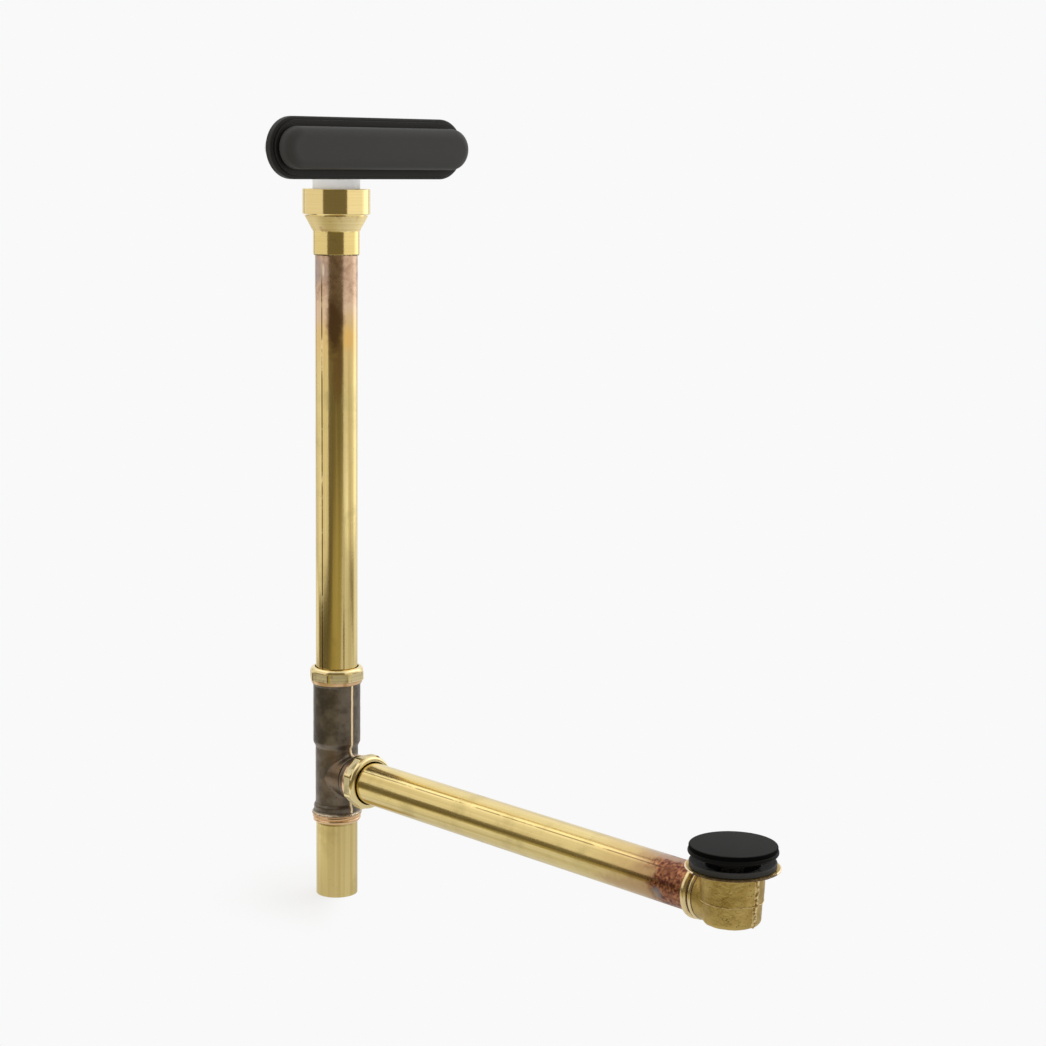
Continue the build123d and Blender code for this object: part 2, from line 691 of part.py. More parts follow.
# Drain flange: dished rim, threaded barrel, cross bars and boss
drain_top = drain_seat + drain_flange_height
barrel_bore_r = barrel_r - barrel_wall
drain_dish_r = barrel_r + drain_dish_wall
with BuildPart() as drain_flange:
    spin(drain, [
        (barrel_bore_r, barrel_bottom),
        (barrel_r, barrel_bottom),
        (barrel_r, drain_seat),
        (drain_r, drain_seat),
        (drain_r, drain_top),
        (drain_r - drain_rim, drain_top),
        (drain_dish_r, drain_top - drain_dish_depth),
        (barrel_bore_r, drain_top - drain_dish_depth),
    ])
    drain_edges = drain_flange.edges().filter_by(GeomType.CIRCLE).group_by(SortBy.RADIUS)[-1]
    fillet(drain_edges.sort_by(Axis.Z)[-1], drain_rim_round)
    with BuildSketch(drain.offset(barrel_bottom)):
        Rectangle(2 * barrel_bore_r + barrel_wall, cross_bar_width)
        Rectangle(cross_bar_width, 2 * barrel_bore_r + barrel_wall)
    extrude(amount=cross_bar_height)
    ring(drain, 0, boss_r, barrel_bottom, barrel_bottom + boss_height)
    ring(drain, 0, post_thread_r + thread_gap, barrel_bottom, barrel_bottom + boss_height, Mode.SUBTRACT)
finish(drain_flange.part, "drain_flange")

# Heights of the stopper at rest, above the waste tube's axis
seal_bottom = drain_top + closed_gap + stopper_travel
cap_bottom = seal_bottom + seal_height
cap_top = cap_bottom + cap_height
shoulder_top = seal_bottom - retainer_seat
boss_top = barrel_bottom + boss_height
collar_top = boss_top + post_collar
sleeve_bottom = collar_top + stopper_travel + part_gap
sleeve_bore_r = sleeve_r - sleeve_wall
cam_bottom = sleeve_bottom + sleeve_lip + part_gap
cam_top = cam_bottom + cam_height
sleeve_top = cap_bottom
sleeve_roof = cap_bottom - cap_stem_length - sleeve_wall

# Stopper cap: flat disc with a short stem into the sleeve
with BuildPart() as stopper_cap:
    ring(drain, 0, cap_r, cap_bottom, cap_top)
    fillet(stopper_cap.edges().filter_by(GeomType.CIRCLE).sort_by(Axis.Z)[-1], cap_round)
    ring(drain, 0, cap_stem_r, cap_bottom - cap_stem_length, cap_bottom)
finish(stopper_cap.part, "stopper_cap")

# Stopper seal: rubber ring with a round lip
seal_r = cap_r + seal_past_cap
with BuildPart() as stopper_seal:
    with BuildSketch(section(drain)):
        with BuildLine():
            Line((seal_inner_r, seal_bottom), (seal_r - seal_height / 2, seal_bottom))
            ThreePointArc(
                (seal_r - seal_height / 2, seal_bottom),
                (seal_r, seal_bottom + seal_height / 2),
                (seal_r - seal_height / 2, cap_bottom),
            )
            Line((seal_r - seal_height / 2, cap_bottom), (seal_inner_r, cap_bottom))
            Line((seal_inner_r, cap_bottom), (seal_inner_r, seal_bottom))
        make_face()
    revolve(axis=Axis(drain.origin, drain.z_dir))
finish(stopper_seal.part, "stopper_seal")

# Retainer: cup that holds the seal against the cap, with a skirt that enters the barrel
sleeve_hole_r = sleeve_r + seal_step
skirt_r = barrel_bore_r - barrel_gap
skirt_bottom = seal_bottom - retainer_skirt
retainer_r = seal_inner_r + retainer_lip
with BuildPart() as stopper_retainer:
    spin(drain, [
        (sleeve_hole_r, shoulder_top),
        (skirt_r - retainer_wall, shoulder_top),
        (skirt_r - retainer_wall, skirt_bottom),
        (skirt_r, skirt_bottom),
        (skirt_r, seal_bottom - retainer_lip_height),
        (retainer_r, seal_bottom),
        (seal_inner_r - seal_step, seal_bottom),
        (seal_inner_r - seal_step, cap_bottom),
        (sleeve_hole_r, cap_bottom),
    ])
finish(stopper_retainer.part, "stopper_retainer")

# Sleeve: moving barrel with a shoulder under the retainer and a lip under the cam
with BuildPart() as stopper_sleeve:
    spin(drain, [
        (post_r + running_gap, sleeve_bottom),
        (sleeve_r, sleeve_bottom),
        (sleeve_r, shoulder_top - sleeve_shoulder),
        (sleeve_shoulder_r, shoulder_top - sleeve_shoulder),
        (sleeve_shoulder_r, shoulder_top),
        (sleeve_r, shoulder_top),
        (sleeve_r, sleeve_top),
        (cap_stem_r + seal_step, sleeve_top),
        (cap_stem_r + seal_step, sleeve_top - cap_stem_length),
        (0, sleeve_top - cap_stem_length),
        (0, sleeve_roof),
        (sleeve_bore_r, sleeve_roof),
        (sleeve_bore_r, sleeve_bottom + sleeve_lip),
        (post_r + running_gap, sleeve_bottom + sleeve_lip),
    ])
finish(stopper_sleeve.part, "stopper_sleeve")

# Post: stud screwed into the boss, with a collar and a head above the cam
post_top = cam_top + part_gap + post_head
with BuildPart() as stopper_post:
    spin(drain, [
        (0, barrel_bottom),
        (post_thread_r, barrel_bottom),
        (post_thread_r, boss_top),
        (post_collar_r, boss_top),
        (post_collar_r, collar_top),
        (post_r, collar_top),
        (post_r, cam_top + part_gap),
        (post_head_r, cam_top + part_gap),
        (post_head_r, post_top),
        (0, post_top),
    ])
finish(stopper_post.part, "stopper_post")

# Latch cam: toothed ring round the post
cam_r = sleeve_bore_r - running_gap
with BuildPart() as stopper_latch_cam:
    ring(drain, post_r + seal_step, cam_r, cam_bottom, cam_top)
    with BuildSketch(drain.offset(cam_top - cam_tooth_height)):
        with PolarLocations((cam_r + post_r) / 2, cam_teeth):
            Rectangle(2 * cam_r, cam_tooth_height, rotation=90 / cam_teeth)
    extrude(amount=cam_tooth_height, mode=Mode.SUBTRACT)
finish(stopper_latch_cam.part, "stopper_latch_cam")

# Spring: coil between the post's head and the sleeve's roof
spring_r = sleeve_bore_r - running_gap - spring_wire / 2
spring_bottom = post_top + spring_gap + spring_wire / 2
spring_top = sleeve_roof - spring_gap - spring_wire / 2
spring_pitch = (spring_top - spring_bottom) / spring_turns
with BuildPart() as stopper_spring:
    with BuildLine() as coil:
        Helix(spring_pitch, spring_top - spring_bottom, spring_r,
              center=(0, -waste_reach, branch_height + spring_bottom))
    with BuildSketch(Plane(coil.line @ 0, z_dir=coil.line % 0)):
        Circle(spring_wire / 2)
    sweep(is_frenet=True)
finish(stopper_spring.part, "stopper_spring")
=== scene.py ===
"""Looks of a bath waste and overflow: fine shapes, finishes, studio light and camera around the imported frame."""

import logging
import math
from dataclasses import dataclass, replace
from enum import Enum
from typing import Any, Callable, Mapping, Optional, Sequence

import bmesh
import bpy
from mathutils import Matrix, Vector, noise


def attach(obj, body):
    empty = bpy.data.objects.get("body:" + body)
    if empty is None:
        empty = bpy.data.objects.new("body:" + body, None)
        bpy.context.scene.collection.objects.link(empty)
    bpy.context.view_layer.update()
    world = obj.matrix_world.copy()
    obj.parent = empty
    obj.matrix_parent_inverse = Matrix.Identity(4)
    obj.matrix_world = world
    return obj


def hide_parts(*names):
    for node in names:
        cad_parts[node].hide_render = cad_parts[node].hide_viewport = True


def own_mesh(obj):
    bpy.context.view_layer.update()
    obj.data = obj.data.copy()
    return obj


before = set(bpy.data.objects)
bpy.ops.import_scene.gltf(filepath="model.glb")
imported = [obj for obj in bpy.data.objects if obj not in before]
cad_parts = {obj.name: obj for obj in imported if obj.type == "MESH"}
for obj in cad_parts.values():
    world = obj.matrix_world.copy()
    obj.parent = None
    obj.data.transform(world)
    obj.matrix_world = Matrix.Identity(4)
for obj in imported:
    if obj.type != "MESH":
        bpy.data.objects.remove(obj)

log = logging.getLogger("bath_waste")

MM = 0.001
SMOOTH_ANGLE = math.radians(28)
LINE_ANGLE = math.radians(70)
MERGE_DISTANCE = 1e-6
CAD_MERGE_DISTANCE = 2e-6
CORNER_SHARE = 0.42
FLAT_MARGIN = 0.12
RING_STEPS = 96
STREAK_SPREAD = (0.3, 0.7)
CAST_EASE = 0.5
CAST_PASSES = 2
X, Y, Z = range(3)

Colour = tuple[float, float, float]
Spot = tuple[float, float, float]
Flat = tuple[float, float]
Cloud = tuple[float, float, float]


class Body(Enum):
    """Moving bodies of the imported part."""

    WASTE = "waste"
    STOPPER = "stopper"


class Slot(Enum):
    """Names of the fitting's material slots."""

    TUBE = "tube_brass"
    POLISHED = "polished_brass"
    CAST = "cast_brass"
    DARK = "dark_casting"
    TRIM = "black_trim"
    STEEL = "steel"


class Cut(Enum):
    """What the lathe does to a stretch of an outline."""

    PLAIN = 0
    FLATS = 1
    THREAD = 2


class ShoePart(Enum):
    """Places of the cast shoe, by the number of their finish."""

    ROUGH = 0
    RIM = 1
    COLLAR = 2
    DARK = 3


class NutPart(Enum):
    """Places of a slip nut, by the number of their finish."""

    BEAD = 0
    SKIRT = 1
    FLAT = 2


class Wiring:
    """Adds and joins nodes in one node tree."""

    def __init__(self, tree: bpy.types.NodeTree) -> None:
        """Keep the tree that is worked on."""
        self.tree = tree

    def feed(self, socket: bpy.types.NodeSocket, value: Any) -> None:
        """Join a socket to another one, or set its value.

        Args:
            socket: Input that is fed.
            value: Output socket, number, colour or vector.
        """
        if isinstance(value, bpy.types.NodeSocket):
            self.tree.links.new(value, socket)
        elif socket.type == "RGBA":
            socket.default_value = (*value, 1.0)
        else:
            socket.default_value = value

    def add(self, kind: str, inputs: Optional[Mapping[Any, Any]] = None, **settings: Any) -> bpy.types.Node:
        """Add one node.

        Args:
            kind: Blender's type name of the node.
            inputs: Values or sockets by input name or number.
            settings: Properties of the node.

        Returns:
            The new node.
        """
        node = self.tree.nodes.new(kind)
        for name, value in settings.items():
            setattr(node, name, value)
        for key, value in (inputs or {}).items():
            self.feed(node.inputs[key], value)
        return node

    def out(self, kind: str, inputs: Optional[Mapping[Any, Any]] = None, **settings: Any) -> bpy.types.NodeSocket:
        """Add one node and return its first output."""
        return self.add(kind, inputs, **settings).outputs[0]

    def math(self, operation: str, *values: Any) -> bpy.types.NodeSocket:
        """Return the result of one sum on numbers."""
        return self.out("ShaderNodeMath", dict(enumerate(values)), operation=operation)

    def vector(self, operation: str, *values: Any) -> bpy.types.NodeSocket:
        """Return the vector, or the number of a dot product, of one sum on vectors."""
        node = self.add("ShaderNodeVectorMath", dict(enumerate(values)), operation=operation)
        return node.outputs["Value" if operation in ("DOT_PRODUCT", "LENGTH") else "Vector"]

    def parts(self, vector: Any) -> tuple[bpy.types.NodeSocket, ...]:
        """Return a vector's three numbers."""
        return tuple(self.add("ShaderNodeSeparateXYZ", {0: vector}).outputs)

    def span(self, value: Any, low: float, high: float, start: float = 0.0, end: float = 1.0) -> bpy.types.NodeSocket:
        """Ease a number from one range to another.

        Args:
            value: Number that is eased.
            low: Where it starts to change.
            high: Where it stops.
            start: Result at low.
            end: Result at high.

        Returns:
            The eased number.
        """
        inputs = {0: value, 1: low, 2: high, 3: start, 4: end}
        return self.out("ShaderNodeMapRange", inputs, interpolation_type="SMOOTHSTEP")

    def mix(self, factor: Any, first: Any, second: Any, blend: str = "MIX") -> bpy.types.NodeSocket:
        """Return a blend of two colours."""
        inputs = {0: factor, 6: first, 7: second}
        return self.add("ShaderNodeMix", inputs, data_type="RGBA", blend_type=blend).outputs[2]

    def blend(self, factor: Any, first: Any, second: Any) -> bpy.types.NodeSocket:
        """Return a blend of two shaders."""
        return self.out("ShaderNodeMixShader", {0: factor, 1: first, 2: second})

    def grain(self, vector: Any, scale: float, detail: float = 2.0, rough: float = 0.5) -> bpy.types.NodeSocket:
        """Return cloudy noise between about 0.2 and 0.8, from its scale, detail and roughness."""
        inputs = {"Vector": vector, "Scale": scale, "Detail": detail, "Roughness": rough}
        return self.out("ShaderNodeTexNoise", inputs)

    def relief(self, shader: bpy.types.Node, height: Any, strength: float, depth: float) -> None:
        """Give a shader fine relief.

        Args:
            shader: Principled shader.
            height: Height field.
            strength: How much of the relief shows.
            depth: Depth of a full step in metres.
        """
        bump = self.add("ShaderNodeBump", {"Strength": strength, "Distance": depth, "Height": height})
        self.feed(shader.inputs["Normal"], bump.outputs["Normal"])


@dataclass(frozen=True)
class Port:
    """Named input or output of a node group."""

    name: str
    kind: str = "NodeSocketFloat"
    value: Any = None


VECTOR = "NodeSocketVector"
COLOUR = "NodeSocketColor"
WHOLE = "NodeSocketInt"
SHAPE = "NodeSocketGeometry"
MATERIAL = "NodeSocketMaterial"


def new_tree(title: str, kind: str, takes: Sequence[Port], gives: Sequence[Port]) -> bpy.types.NodeTree:
    """Make an empty node group with its ports.

    Args:
        title: Name of the group.
        kind: Type of node tree.
        takes: Inputs.
        gives: Outputs.

    Returns:
        The new group.
    """
    tree = bpy.data.node_groups.new(title, kind)
    for way, ports in (("INPUT", takes), ("OUTPUT", gives)):
        for port in ports:
            socket = tree.interface.new_socket(port.name, in_out=way, socket_type=port.kind)
            if port.value is not None:
                socket.default_value = port.value
    return tree


class Effect:
    """Shader node group that several finishes share."""

    title: str = ""
    takes: Sequence[Port] = ()
    gives: Sequence[Port] = ()

    def wire(self, wiring: Wiring, given: Any, result: Any) -> None:
        """Fill the group.

        Args:
            wiring: Wiring of the group.
            given: Sockets of the group's input node.
            result: Sockets of the group's output node.
        """
        raise NotImplementedError

    def place(self, wiring: Wiring, **values: Any) -> Any:
        """Put the effect into a material.

        Args:
            wiring: Wiring of the material.
            values: Values or sockets by input name, with _ for a space.

        Returns:
            The outputs of the placed group.
        """
        tree = bpy.data.node_groups.get(self.title)
        if tree is None:
            tree = new_tree(self.title, "ShaderNodeTree", self.takes, self.gives)
            inner = Wiring(tree)
            self.wire(inner, inner.add("NodeGroupInput").outputs, inner.add("NodeGroupOutput").inputs)
        node = wiring.add("ShaderNodeGroup", node_tree=tree)
        for name, value in values.items():
            wiring.feed(node.inputs[name.replace("_", " ")], value)
        return node.outputs


class DrawnStreaks(Effect):
    """Fine lines left by drawing, turning or brushing, long in the direction of the small scale."""

    title = "Drawn Streaks"
    takes = (Port("Place", VECTOR), Port("Scale", VECTOR, (900.0, 900.0, 12.0)))
    gives = (Port("Coarse"), Port("Fine"))
    coarse: Cloud = (0.35, 3.0, 0.6)
    fine: Cloud = (1.6, 4.0, 0.65)

    def wire(self, wiring: Wiring, given: Any, result: Any) -> None:
        """Stretch two sizes of noise.

        Args:
            wiring: Wiring of the group.
            given: Sockets of the group's input node.
            result: Sockets of the group's output node.
        """
        stretched = wiring.vector("MULTIPLY", given["Place"], given["Scale"])
        wiring.feed(result["Coarse"], wiring.grain(stretched, *self.coarse))
        wiring.feed(result["Fine"], wiring.grain(stretched, *self.fine))


class Blotches(Effect):
    """Soft patches of tarnish or handling."""

    title = "Blotches"
    takes = (Port("Place", VECTOR), Port("Scale", value=30.0), Port("Start", value=0.5), Port("Full", value=0.7))
    gives = (Port("Mask"), Port("Cloud"))
    detail = 5.0
    rough = 0.6

    def wire(self, wiring: Wiring, given: Any, result: Any) -> None:
        """Cut patches out of a cloud.

        Args:
            wiring: Wiring of the group.
            given: Sockets of the group's input node.
            result: Sockets of the group's output node.
        """
        cloud = wiring.grain(given["Place"], given["Scale"], self.detail, self.rough)
        wiring.feed(result["Cloud"], cloud)
        wiring.feed(result["Mask"], wiring.span(cloud, given["Start"], given["Full"]))


class Speckle(Effect):
    """Small separate flecks, such as scale, flux or the nibs of a paint film."""

    title = "Speckle"
    takes = (Port("Place", VECTOR), Port("Scale", value=400.0), Port("Share", value=0.3))
    gives = (Port("Mask"), Port("Height"))
    detail = 3.0
    rough = 0.55
    spread = 1.2
    ragged = 0.9
    fade: Flat = (0.1, -0.1)

    def wire(self, wiring: Wiring, given: Any, result: Any) -> None:
        """Keep a share of the cells of a fine pattern, each as a ragged fleck of its own size.

        Args:
            wiring: Wiring of the group.
            given: Sockets of the group's input node.
            result: Sockets of the group's output node.
        """
        height = wiring.grain(given["Place"], given["Scale"], self.detail, self.rough)
        cells = wiring.add("ShaderNodeTexVoronoi", {"Vector": given["Place"], "Scale": given["Scale"]}).outputs
        size = wiring.math("SUBTRACT", given["Share"], wiring.parts(cells["Color"])[0])
        edge = wiring.math("MULTIPLY_ADD", size, -self.spread, cells["Distance"])
        edge = wiring.math("MULTIPLY_ADD", wiring.math("SUBTRACT", height, 0.5), self.ragged, edge)
        wiring.feed(result["Height"], height)
        wiring.feed(result["Mask"], wiring.span(edge, *self.fade))


class HeatStain(Effect):
    """Bands of colour that brazing leaves, from the joint outwards."""

    title = "Heat Stain"
    takes = (
        Port("Place", VECTOR), Port("Distance"), Port("Reach", value=0.1), Port("Ragged", value=0.3),
        Port("Metal", COLOUR), Port("Near", COLOUR), Port("Middle", COLOUR), Port("Far", COLOUR),
    )
    gives = (Port("Color", COLOUR), Port("Scale"))
    bands = (("Middle", 0.22, 0.38), ("Far", 0.36, 0.6), ("Metal", 0.55, 1.0))
    scaled: Flat = (0.36, 0.2)
    cloud: Cloud = (70.0, 5.0, 0.62)

    def wire(self, wiring: Wiring, given: Any, result: Any) -> None:
        """Blend from band to band along a ragged distance.

        Args:
            wiring: Wiring of the group.
            given: Sockets of the group's input node.
            result: Sockets of the group's output node.
        """
        cloud = wiring.math("SUBTRACT", wiring.grain(given["Place"], *self.cloud), 0.5)
        share = wiring.math("DIVIDE", given["Distance"], given["Reach"])
        ragged = wiring.math("MULTIPLY_ADD", cloud, given["Ragged"], share)
        colour = given["Near"]
        for band, start, full in self.bands:
            colour = wiring.mix(wiring.span(ragged, start, full), colour, given[band])
        wiring.feed(result["Color"], colour)
        wiring.feed(result["Scale"], wiring.span(ragged, *self.scaled))


class CastSkin(Effect):
    """Sand-cast skin: fine grain, pits and slow changes of tone."""

    title = "Cast Skin"
    takes = (Port("Place", VECTOR), Port("Grain", value=900.0))
    gives = (Port("Height"), Port("Pits"), Port("Tone"))
    detail = 5.0
    rough = 0.6
    pit_scale = 420.0
    pit_edge: Flat = (0.3, 0.08)
    pit_depth = 0.8
    pitted_scale = 160.0
    pitted: Flat = (0.5, 0.62)
    tone: Cloud = (55.0, 5.0, 0.6)

    def wire(self, wiring: Wiring, given: Any, result: Any) -> None:
        """Add grain, pits and tone.

        Args:
            wiring: Wiring of the group.
            given: Sockets of the group's input node.
            result: Sockets of the group's output node.
        """
        grain = wiring.grain(given["Place"], given["Grain"], self.detail, self.rough)
        cells = wiring.add("ShaderNodeTexVoronoi", {"Vector": given["Place"], "Scale": self.pit_scale})
        pits = wiring.span(cells.outputs["Distance"], *self.pit_edge)
        where = wiring.span(wiring.grain(given["Place"], self.pitted_scale), *self.pitted)
        pits = wiring.math("MULTIPLY", pits, where)
        wiring.feed(result["Height"], wiring.math("MULTIPLY_ADD", pits, -self.pit_depth, grain))
        wiring.feed(result["Pits"], pits)
        wiring.feed(result["Tone"], wiring.grain(given["Place"], *self.tone))


STREAKS, BLOTCHES, SPECKLE, HEAT, SKIN = DrawnStreaks(), Blotches(), Speckle(), HeatStain(), CastSkin()


@dataclass(frozen=True)
class Finish:
    """One finish, made into a material the first time that it is asked for."""

    name: str

    def wire(self, wiring: Wiring, shader: Any, place: Any) -> None:
        """Set the shader.

        Args:
            wiring: Wiring of the material.
            shader: Its Principled shader.
            place: Object coordinates.
        """
        raise NotImplementedError

    def material(self) -> bpy.types.Material:
        """Return the finish as a material.

        Returns:
            The material, made the first time.
        """
        found = bpy.data.materials.get(self.name)
        if found:
            return found
        made = bpy.data.materials.new(self.name)
        made.use_nodes = True
        wiring = Wiring(made.node_tree)
        shader = made.node_tree.nodes["Principled BSDF"]
        self.wire(wiring, shader, wiring.add("ShaderNodeTexCoord").outputs["Object"])
        return made


@dataclass(frozen=True)
class Patch:
    """Soft-edged patch on a tube: heat stain, and on the overflow tube's camera side painted dark reflection."""

    colour: Colour
    at: Spot
    size: Spot
    strength: float = 0.85


@dataclass(frozen=True)
class Stain:
    """Heat stain on a tube beside its brazed joint."""

    joint: float
    away: float
    reach: float
    ragged: float
    near: Colour
    middle: Colour
    far: Colour
    fleck: Colour
    fleck_size: float
    rough: float
    patches: tuple[Patch, ...]
    mottle: Flat = (0.38, 0.68)
    crust: float = 2.5
    patch_scale: float = 150.0
    patch_ragged: float = 0.8
    patch_fade: Flat = (1.3, 0.7)


@dataclass(frozen=True)
class DrawnBrass(Finish):
    """Drawn brass tube with a welded seam, tarnish and, where it was brazed, heat stain."""

    along: int
    axis: Spot
    seam: Spot
    seam_strength: float = 1.0
    scraped: float = 0.0
    rough: float = 0.2
    stain: Optional[Stain] = None
    pale: Colour = (0.83, 0.67, 0.31)
    deep: Colour = (0.68, 0.52, 0.21)
    olive: Colour = (0.5, 0.4, 0.16)
    fleck: Colour = (0.3, 0.2, 0.07)
    bared: Colour = (0.9, 0.75, 0.42)
    dirt: Colour = (0.11, 0.06, 0.025)
    streak_across: float = 820.0
    streak_along: float = 9.0
    streak_rough: float = 0.14
    tarnish_scale: float = 34.0
    tarnish: Flat = (0.48, 0.74)
    tarnish_share: float = 0.45
    tarnish_rough: float = 0.08
    fleck_scale: float = 420.0
    fleck_cover: float = 0.16
    fleck_share: float = 0.35
    waves: float = 4.0
    relief: float = 0.12
    relief_depth: float = 0.00012
    seam_angles: Flat = (2.2, 0.9)
    seam_clear: Flat = (0.012, 0.03)
    seam_cloud: Cloud = (24.0, 5.0, 0.7)
    seam_gaps: Flat = (0.36, 0.5)
    seam_rough: float = 0.2
    seam_sunk: float = 0.4
    strip_angles: Flat = (5.0, 2.6)
    strip_gaps: Flat = (0.56, 0.4)
    strip_share: Flat = (0.15, 0.7)

    def wire(self, wiring: Wiring, shader: Any, place: Any) -> None:
        """Lay streaks, tarnish, stain and the seam over the brass.

        Args:
            wiring: Wiring of the material.
            shader: Its Principled shader.
            place: Object coordinates.
        """
        stretch = [self.streak_across] * 3
        stretch[self.along] = self.streak_along
        lines = STREAKS.place(wiring, Place=place, Scale=tuple(stretch))
        start, full = self.tarnish
        patch = BLOTCHES.place(wiring, Place=place, Scale=self.tarnish_scale, Start=start, Full=full)
        flecks = SPECKLE.place(wiring, Place=place, Scale=self.fleck_scale, Share=self.fleck_cover)
        colour = wiring.mix(wiring.span(lines["Coarse"], *STREAK_SPREAD), self.deep, self.pale)
        colour = wiring.mix(wiring.math("MULTIPLY", patch["Mask"], self.tarnish_share), colour, self.olive)
        colour = wiring.mix(wiring.math("MULTIPLY", flecks["Mask"], self.fleck_share), colour, self.fleck)
        rough = wiring.math("MULTIPLY_ADD", lines["Fine"], self.streak_rough, self.rough - self.streak_rough / 2)
        rough = wiring.math("MULTIPLY_ADD", patch["Mask"], self.tarnish_rough, rough)
        height = wiring.math("MULTIPLY_ADD", patch["Cloud"], self.waves, lines["Fine"])
        if self.stain:
            colour, rough, height = self.burn(wiring, place, colour, rough, height)
        seam, beside = self.weld(wiring, place)
        colour = wiring.mix(beside, colour, self.bared)
        colour = wiring.mix(seam, colour, self.dirt)
        wiring.feed(shader.inputs["Base Color"], colour)
        wiring.feed(shader.inputs["Roughness"], wiring.math("MULTIPLY_ADD", seam, self.seam_rough, rough))
        shader.inputs["Metallic"].default_value = 1.0
        height = wiring.math("MULTIPLY_ADD", seam, -self.seam_sunk, height)
        wiring.relief(shader, height, self.relief, self.relief_depth)

    def burn(self, wiring: Wiring, place: Any, colour: Any, rough: Any, height: Any) -> tuple[Any, Any, Any]:
        """Lay the heat stain and its patches over the brass; two of the overflow tube's patches are painted dark
        reflection.

        Args:
            wiring: Wiring of the material.
            place: Object coordinates.
            colour: Brass colour so far.
            rough: Roughness so far.
            height: Relief so far.

        Returns:
            The colour with its stain and painted reflection patches, the roughness and the relief.
        """
        stain = self.stain
        start, full = stain.mottle
        mottle = BLOTCHES.place(wiring, Place=place, Scale=1.0 / stain.fleck_size, Start=start, Full=full)
        band = HEAT.place(wiring, Place=place, Distance=self.from_joint(wiring, place), Reach=stain.reach,
                          Ragged=stain.ragged, Metal=colour, Near=wiring.mix(mottle["Mask"], stain.near, stain.fleck),
                          Middle=stain.middle, Far=stain.far)
        stain_and_painted_reflection = band["Color"]
        cloud = BLOTCHES.place(wiring, Place=place, Scale=stain.patch_scale)["Cloud"]
        # Patches of heat stain; on the overflow tube two of them are painted dark reflection.
        for patch in stain.patches:
            away = wiring.vector("DIVIDE", wiring.vector("SUBTRACT", place, patch.at), patch.size)
            edge = wiring.math("MULTIPLY_ADD", cloud, stain.patch_ragged, wiring.vector("LENGTH", away))
            stain_and_painted_reflection = wiring.mix(wiring.span(edge, *stain.patch_fade, 0.0, patch.strength), stain_and_painted_reflection, patch.colour)
        rougher = wiring.math("MULTIPLY_ADD", band["Scale"], stain.rough, rough)
        crust = wiring.math("MULTIPLY", mottle["Cloud"], band["Scale"])
        return stain_and_painted_reflection, rougher, wiring.math("MULTIPLY_ADD", crust, stain.crust, height)

    def from_joint(self, wiring: Wiring, place: Any) -> Any:
        """Return the distance along the tube from its brazed joint."""
        along = wiring.math("SUBTRACT", wiring.parts(place)[self.along], self.stain.joint)
        return wiring.math("MULTIPLY", along, self.stain.away)

    def weld(self, wiring: Wiring, place: Any) -> tuple[Any, Any]:
        """Return the masks of the thin welded seam and of the pale scraped strip that it lies in.

        Args:
            wiring: Wiring of the material.
            place: Object coordinates.

        Returns:
            Both masks.
        """
        from_axis = [1.0] * 3
        from_axis[self.along] = 0.0
        spoke = wiring.vector("MULTIPLY", wiring.vector("SUBTRACT", place, self.axis), tuple(from_axis))
        facing = wiring.vector("DOT_PRODUCT", wiring.vector("NORMALIZE", spoke), self.seam)
        line, strip = (
            wiring.span(facing, *(math.cos(math.radians(angle)) for angle in angles), 0.0, full)
            for angles, full in ((self.seam_angles, 1.0), (self.strip_angles, self.scraped))
        )
        gaps = wiring.grain(place, *self.seam_cloud)
        kept = wiring.math("MULTIPLY", line, wiring.span(gaps, *self.seam_gaps, 0.0, self.seam_strength))
        worn = wiring.math("MULTIPLY", strip, wiring.span(gaps, *self.strip_gaps, *self.strip_share))
        if self.stain:
            kept = wiring.math("MULTIPLY", kept, wiring.span(self.from_joint(wiring, place), *self.seam_clear))
        return kept, worn


@dataclass(frozen=True)
class TurnedBrass(Finish):
    """Polished or machined brass with faint turning lines."""

    turned_on: int
    pale: Colour
    deep: Colour
    rough: float
    tarnish: Colour = (0.45, 0.27, 0.11)
    tarnish_start: float = 0.62
    tarnish_fade: float = 0.16
    tarnish_share: float = 0.75
    tarnish_rough: float = 0.15
    lines: float = 1.0
    line_across: float = 2600.0
    line_along: float = 24.0
    line_rough: float = 0.05
    line_relief: float = 0.06
    line_depth: float = 0.0001
    smear_scale: float = 75.0
    smear_rough: float = 0.06
    metal: float = 1.0

    def wire(self, wiring: Wiring, shader: Any, place: Any) -> None:
        """Lay turning lines, smears and a few tarnished flecks over the brass.

        Args:
            wiring: Wiring of the material.
            shader: Its Principled shader.
            place: Object coordinates.
        """
        stretch = [self.line_along] * 3
        stretch[self.turned_on] = self.line_across
        lines = STREAKS.place(wiring, Place=place, Scale=tuple(stretch))
        patch = BLOTCHES.place(wiring, Place=place, Scale=self.smear_scale, Start=self.tarnish_start,
                               Full=self.tarnish_start + self.tarnish_fade)
        colour = wiring.mix(wiring.span(lines["Coarse"], *STREAK_SPREAD), self.deep, self.pale)
        colour = wiring.mix(wiring.math("MULTIPLY", patch["Mask"], self.tarnish_share), colour, self.tarnish)
        rough = wiring.math("MULTIPLY_ADD", lines["Fine"], self.line_rough * self.lines, self.rough)
        rough = wiring.math("MULTIPLY_ADD", patch["Cloud"], self.smear_rough, rough)
        wiring.feed(shader.inputs["Base Color"], colour)
        wiring.feed(shader.inputs["Roughness"], wiring.math("MULTIPLY_ADD", patch["Mask"], self.tarnish_rough, rough))
        shader.inputs["Metallic"].default_value = self.metal
        wiring.relief(shader, lines["Fine"], self.line_relief * self.lines, self.line_depth)


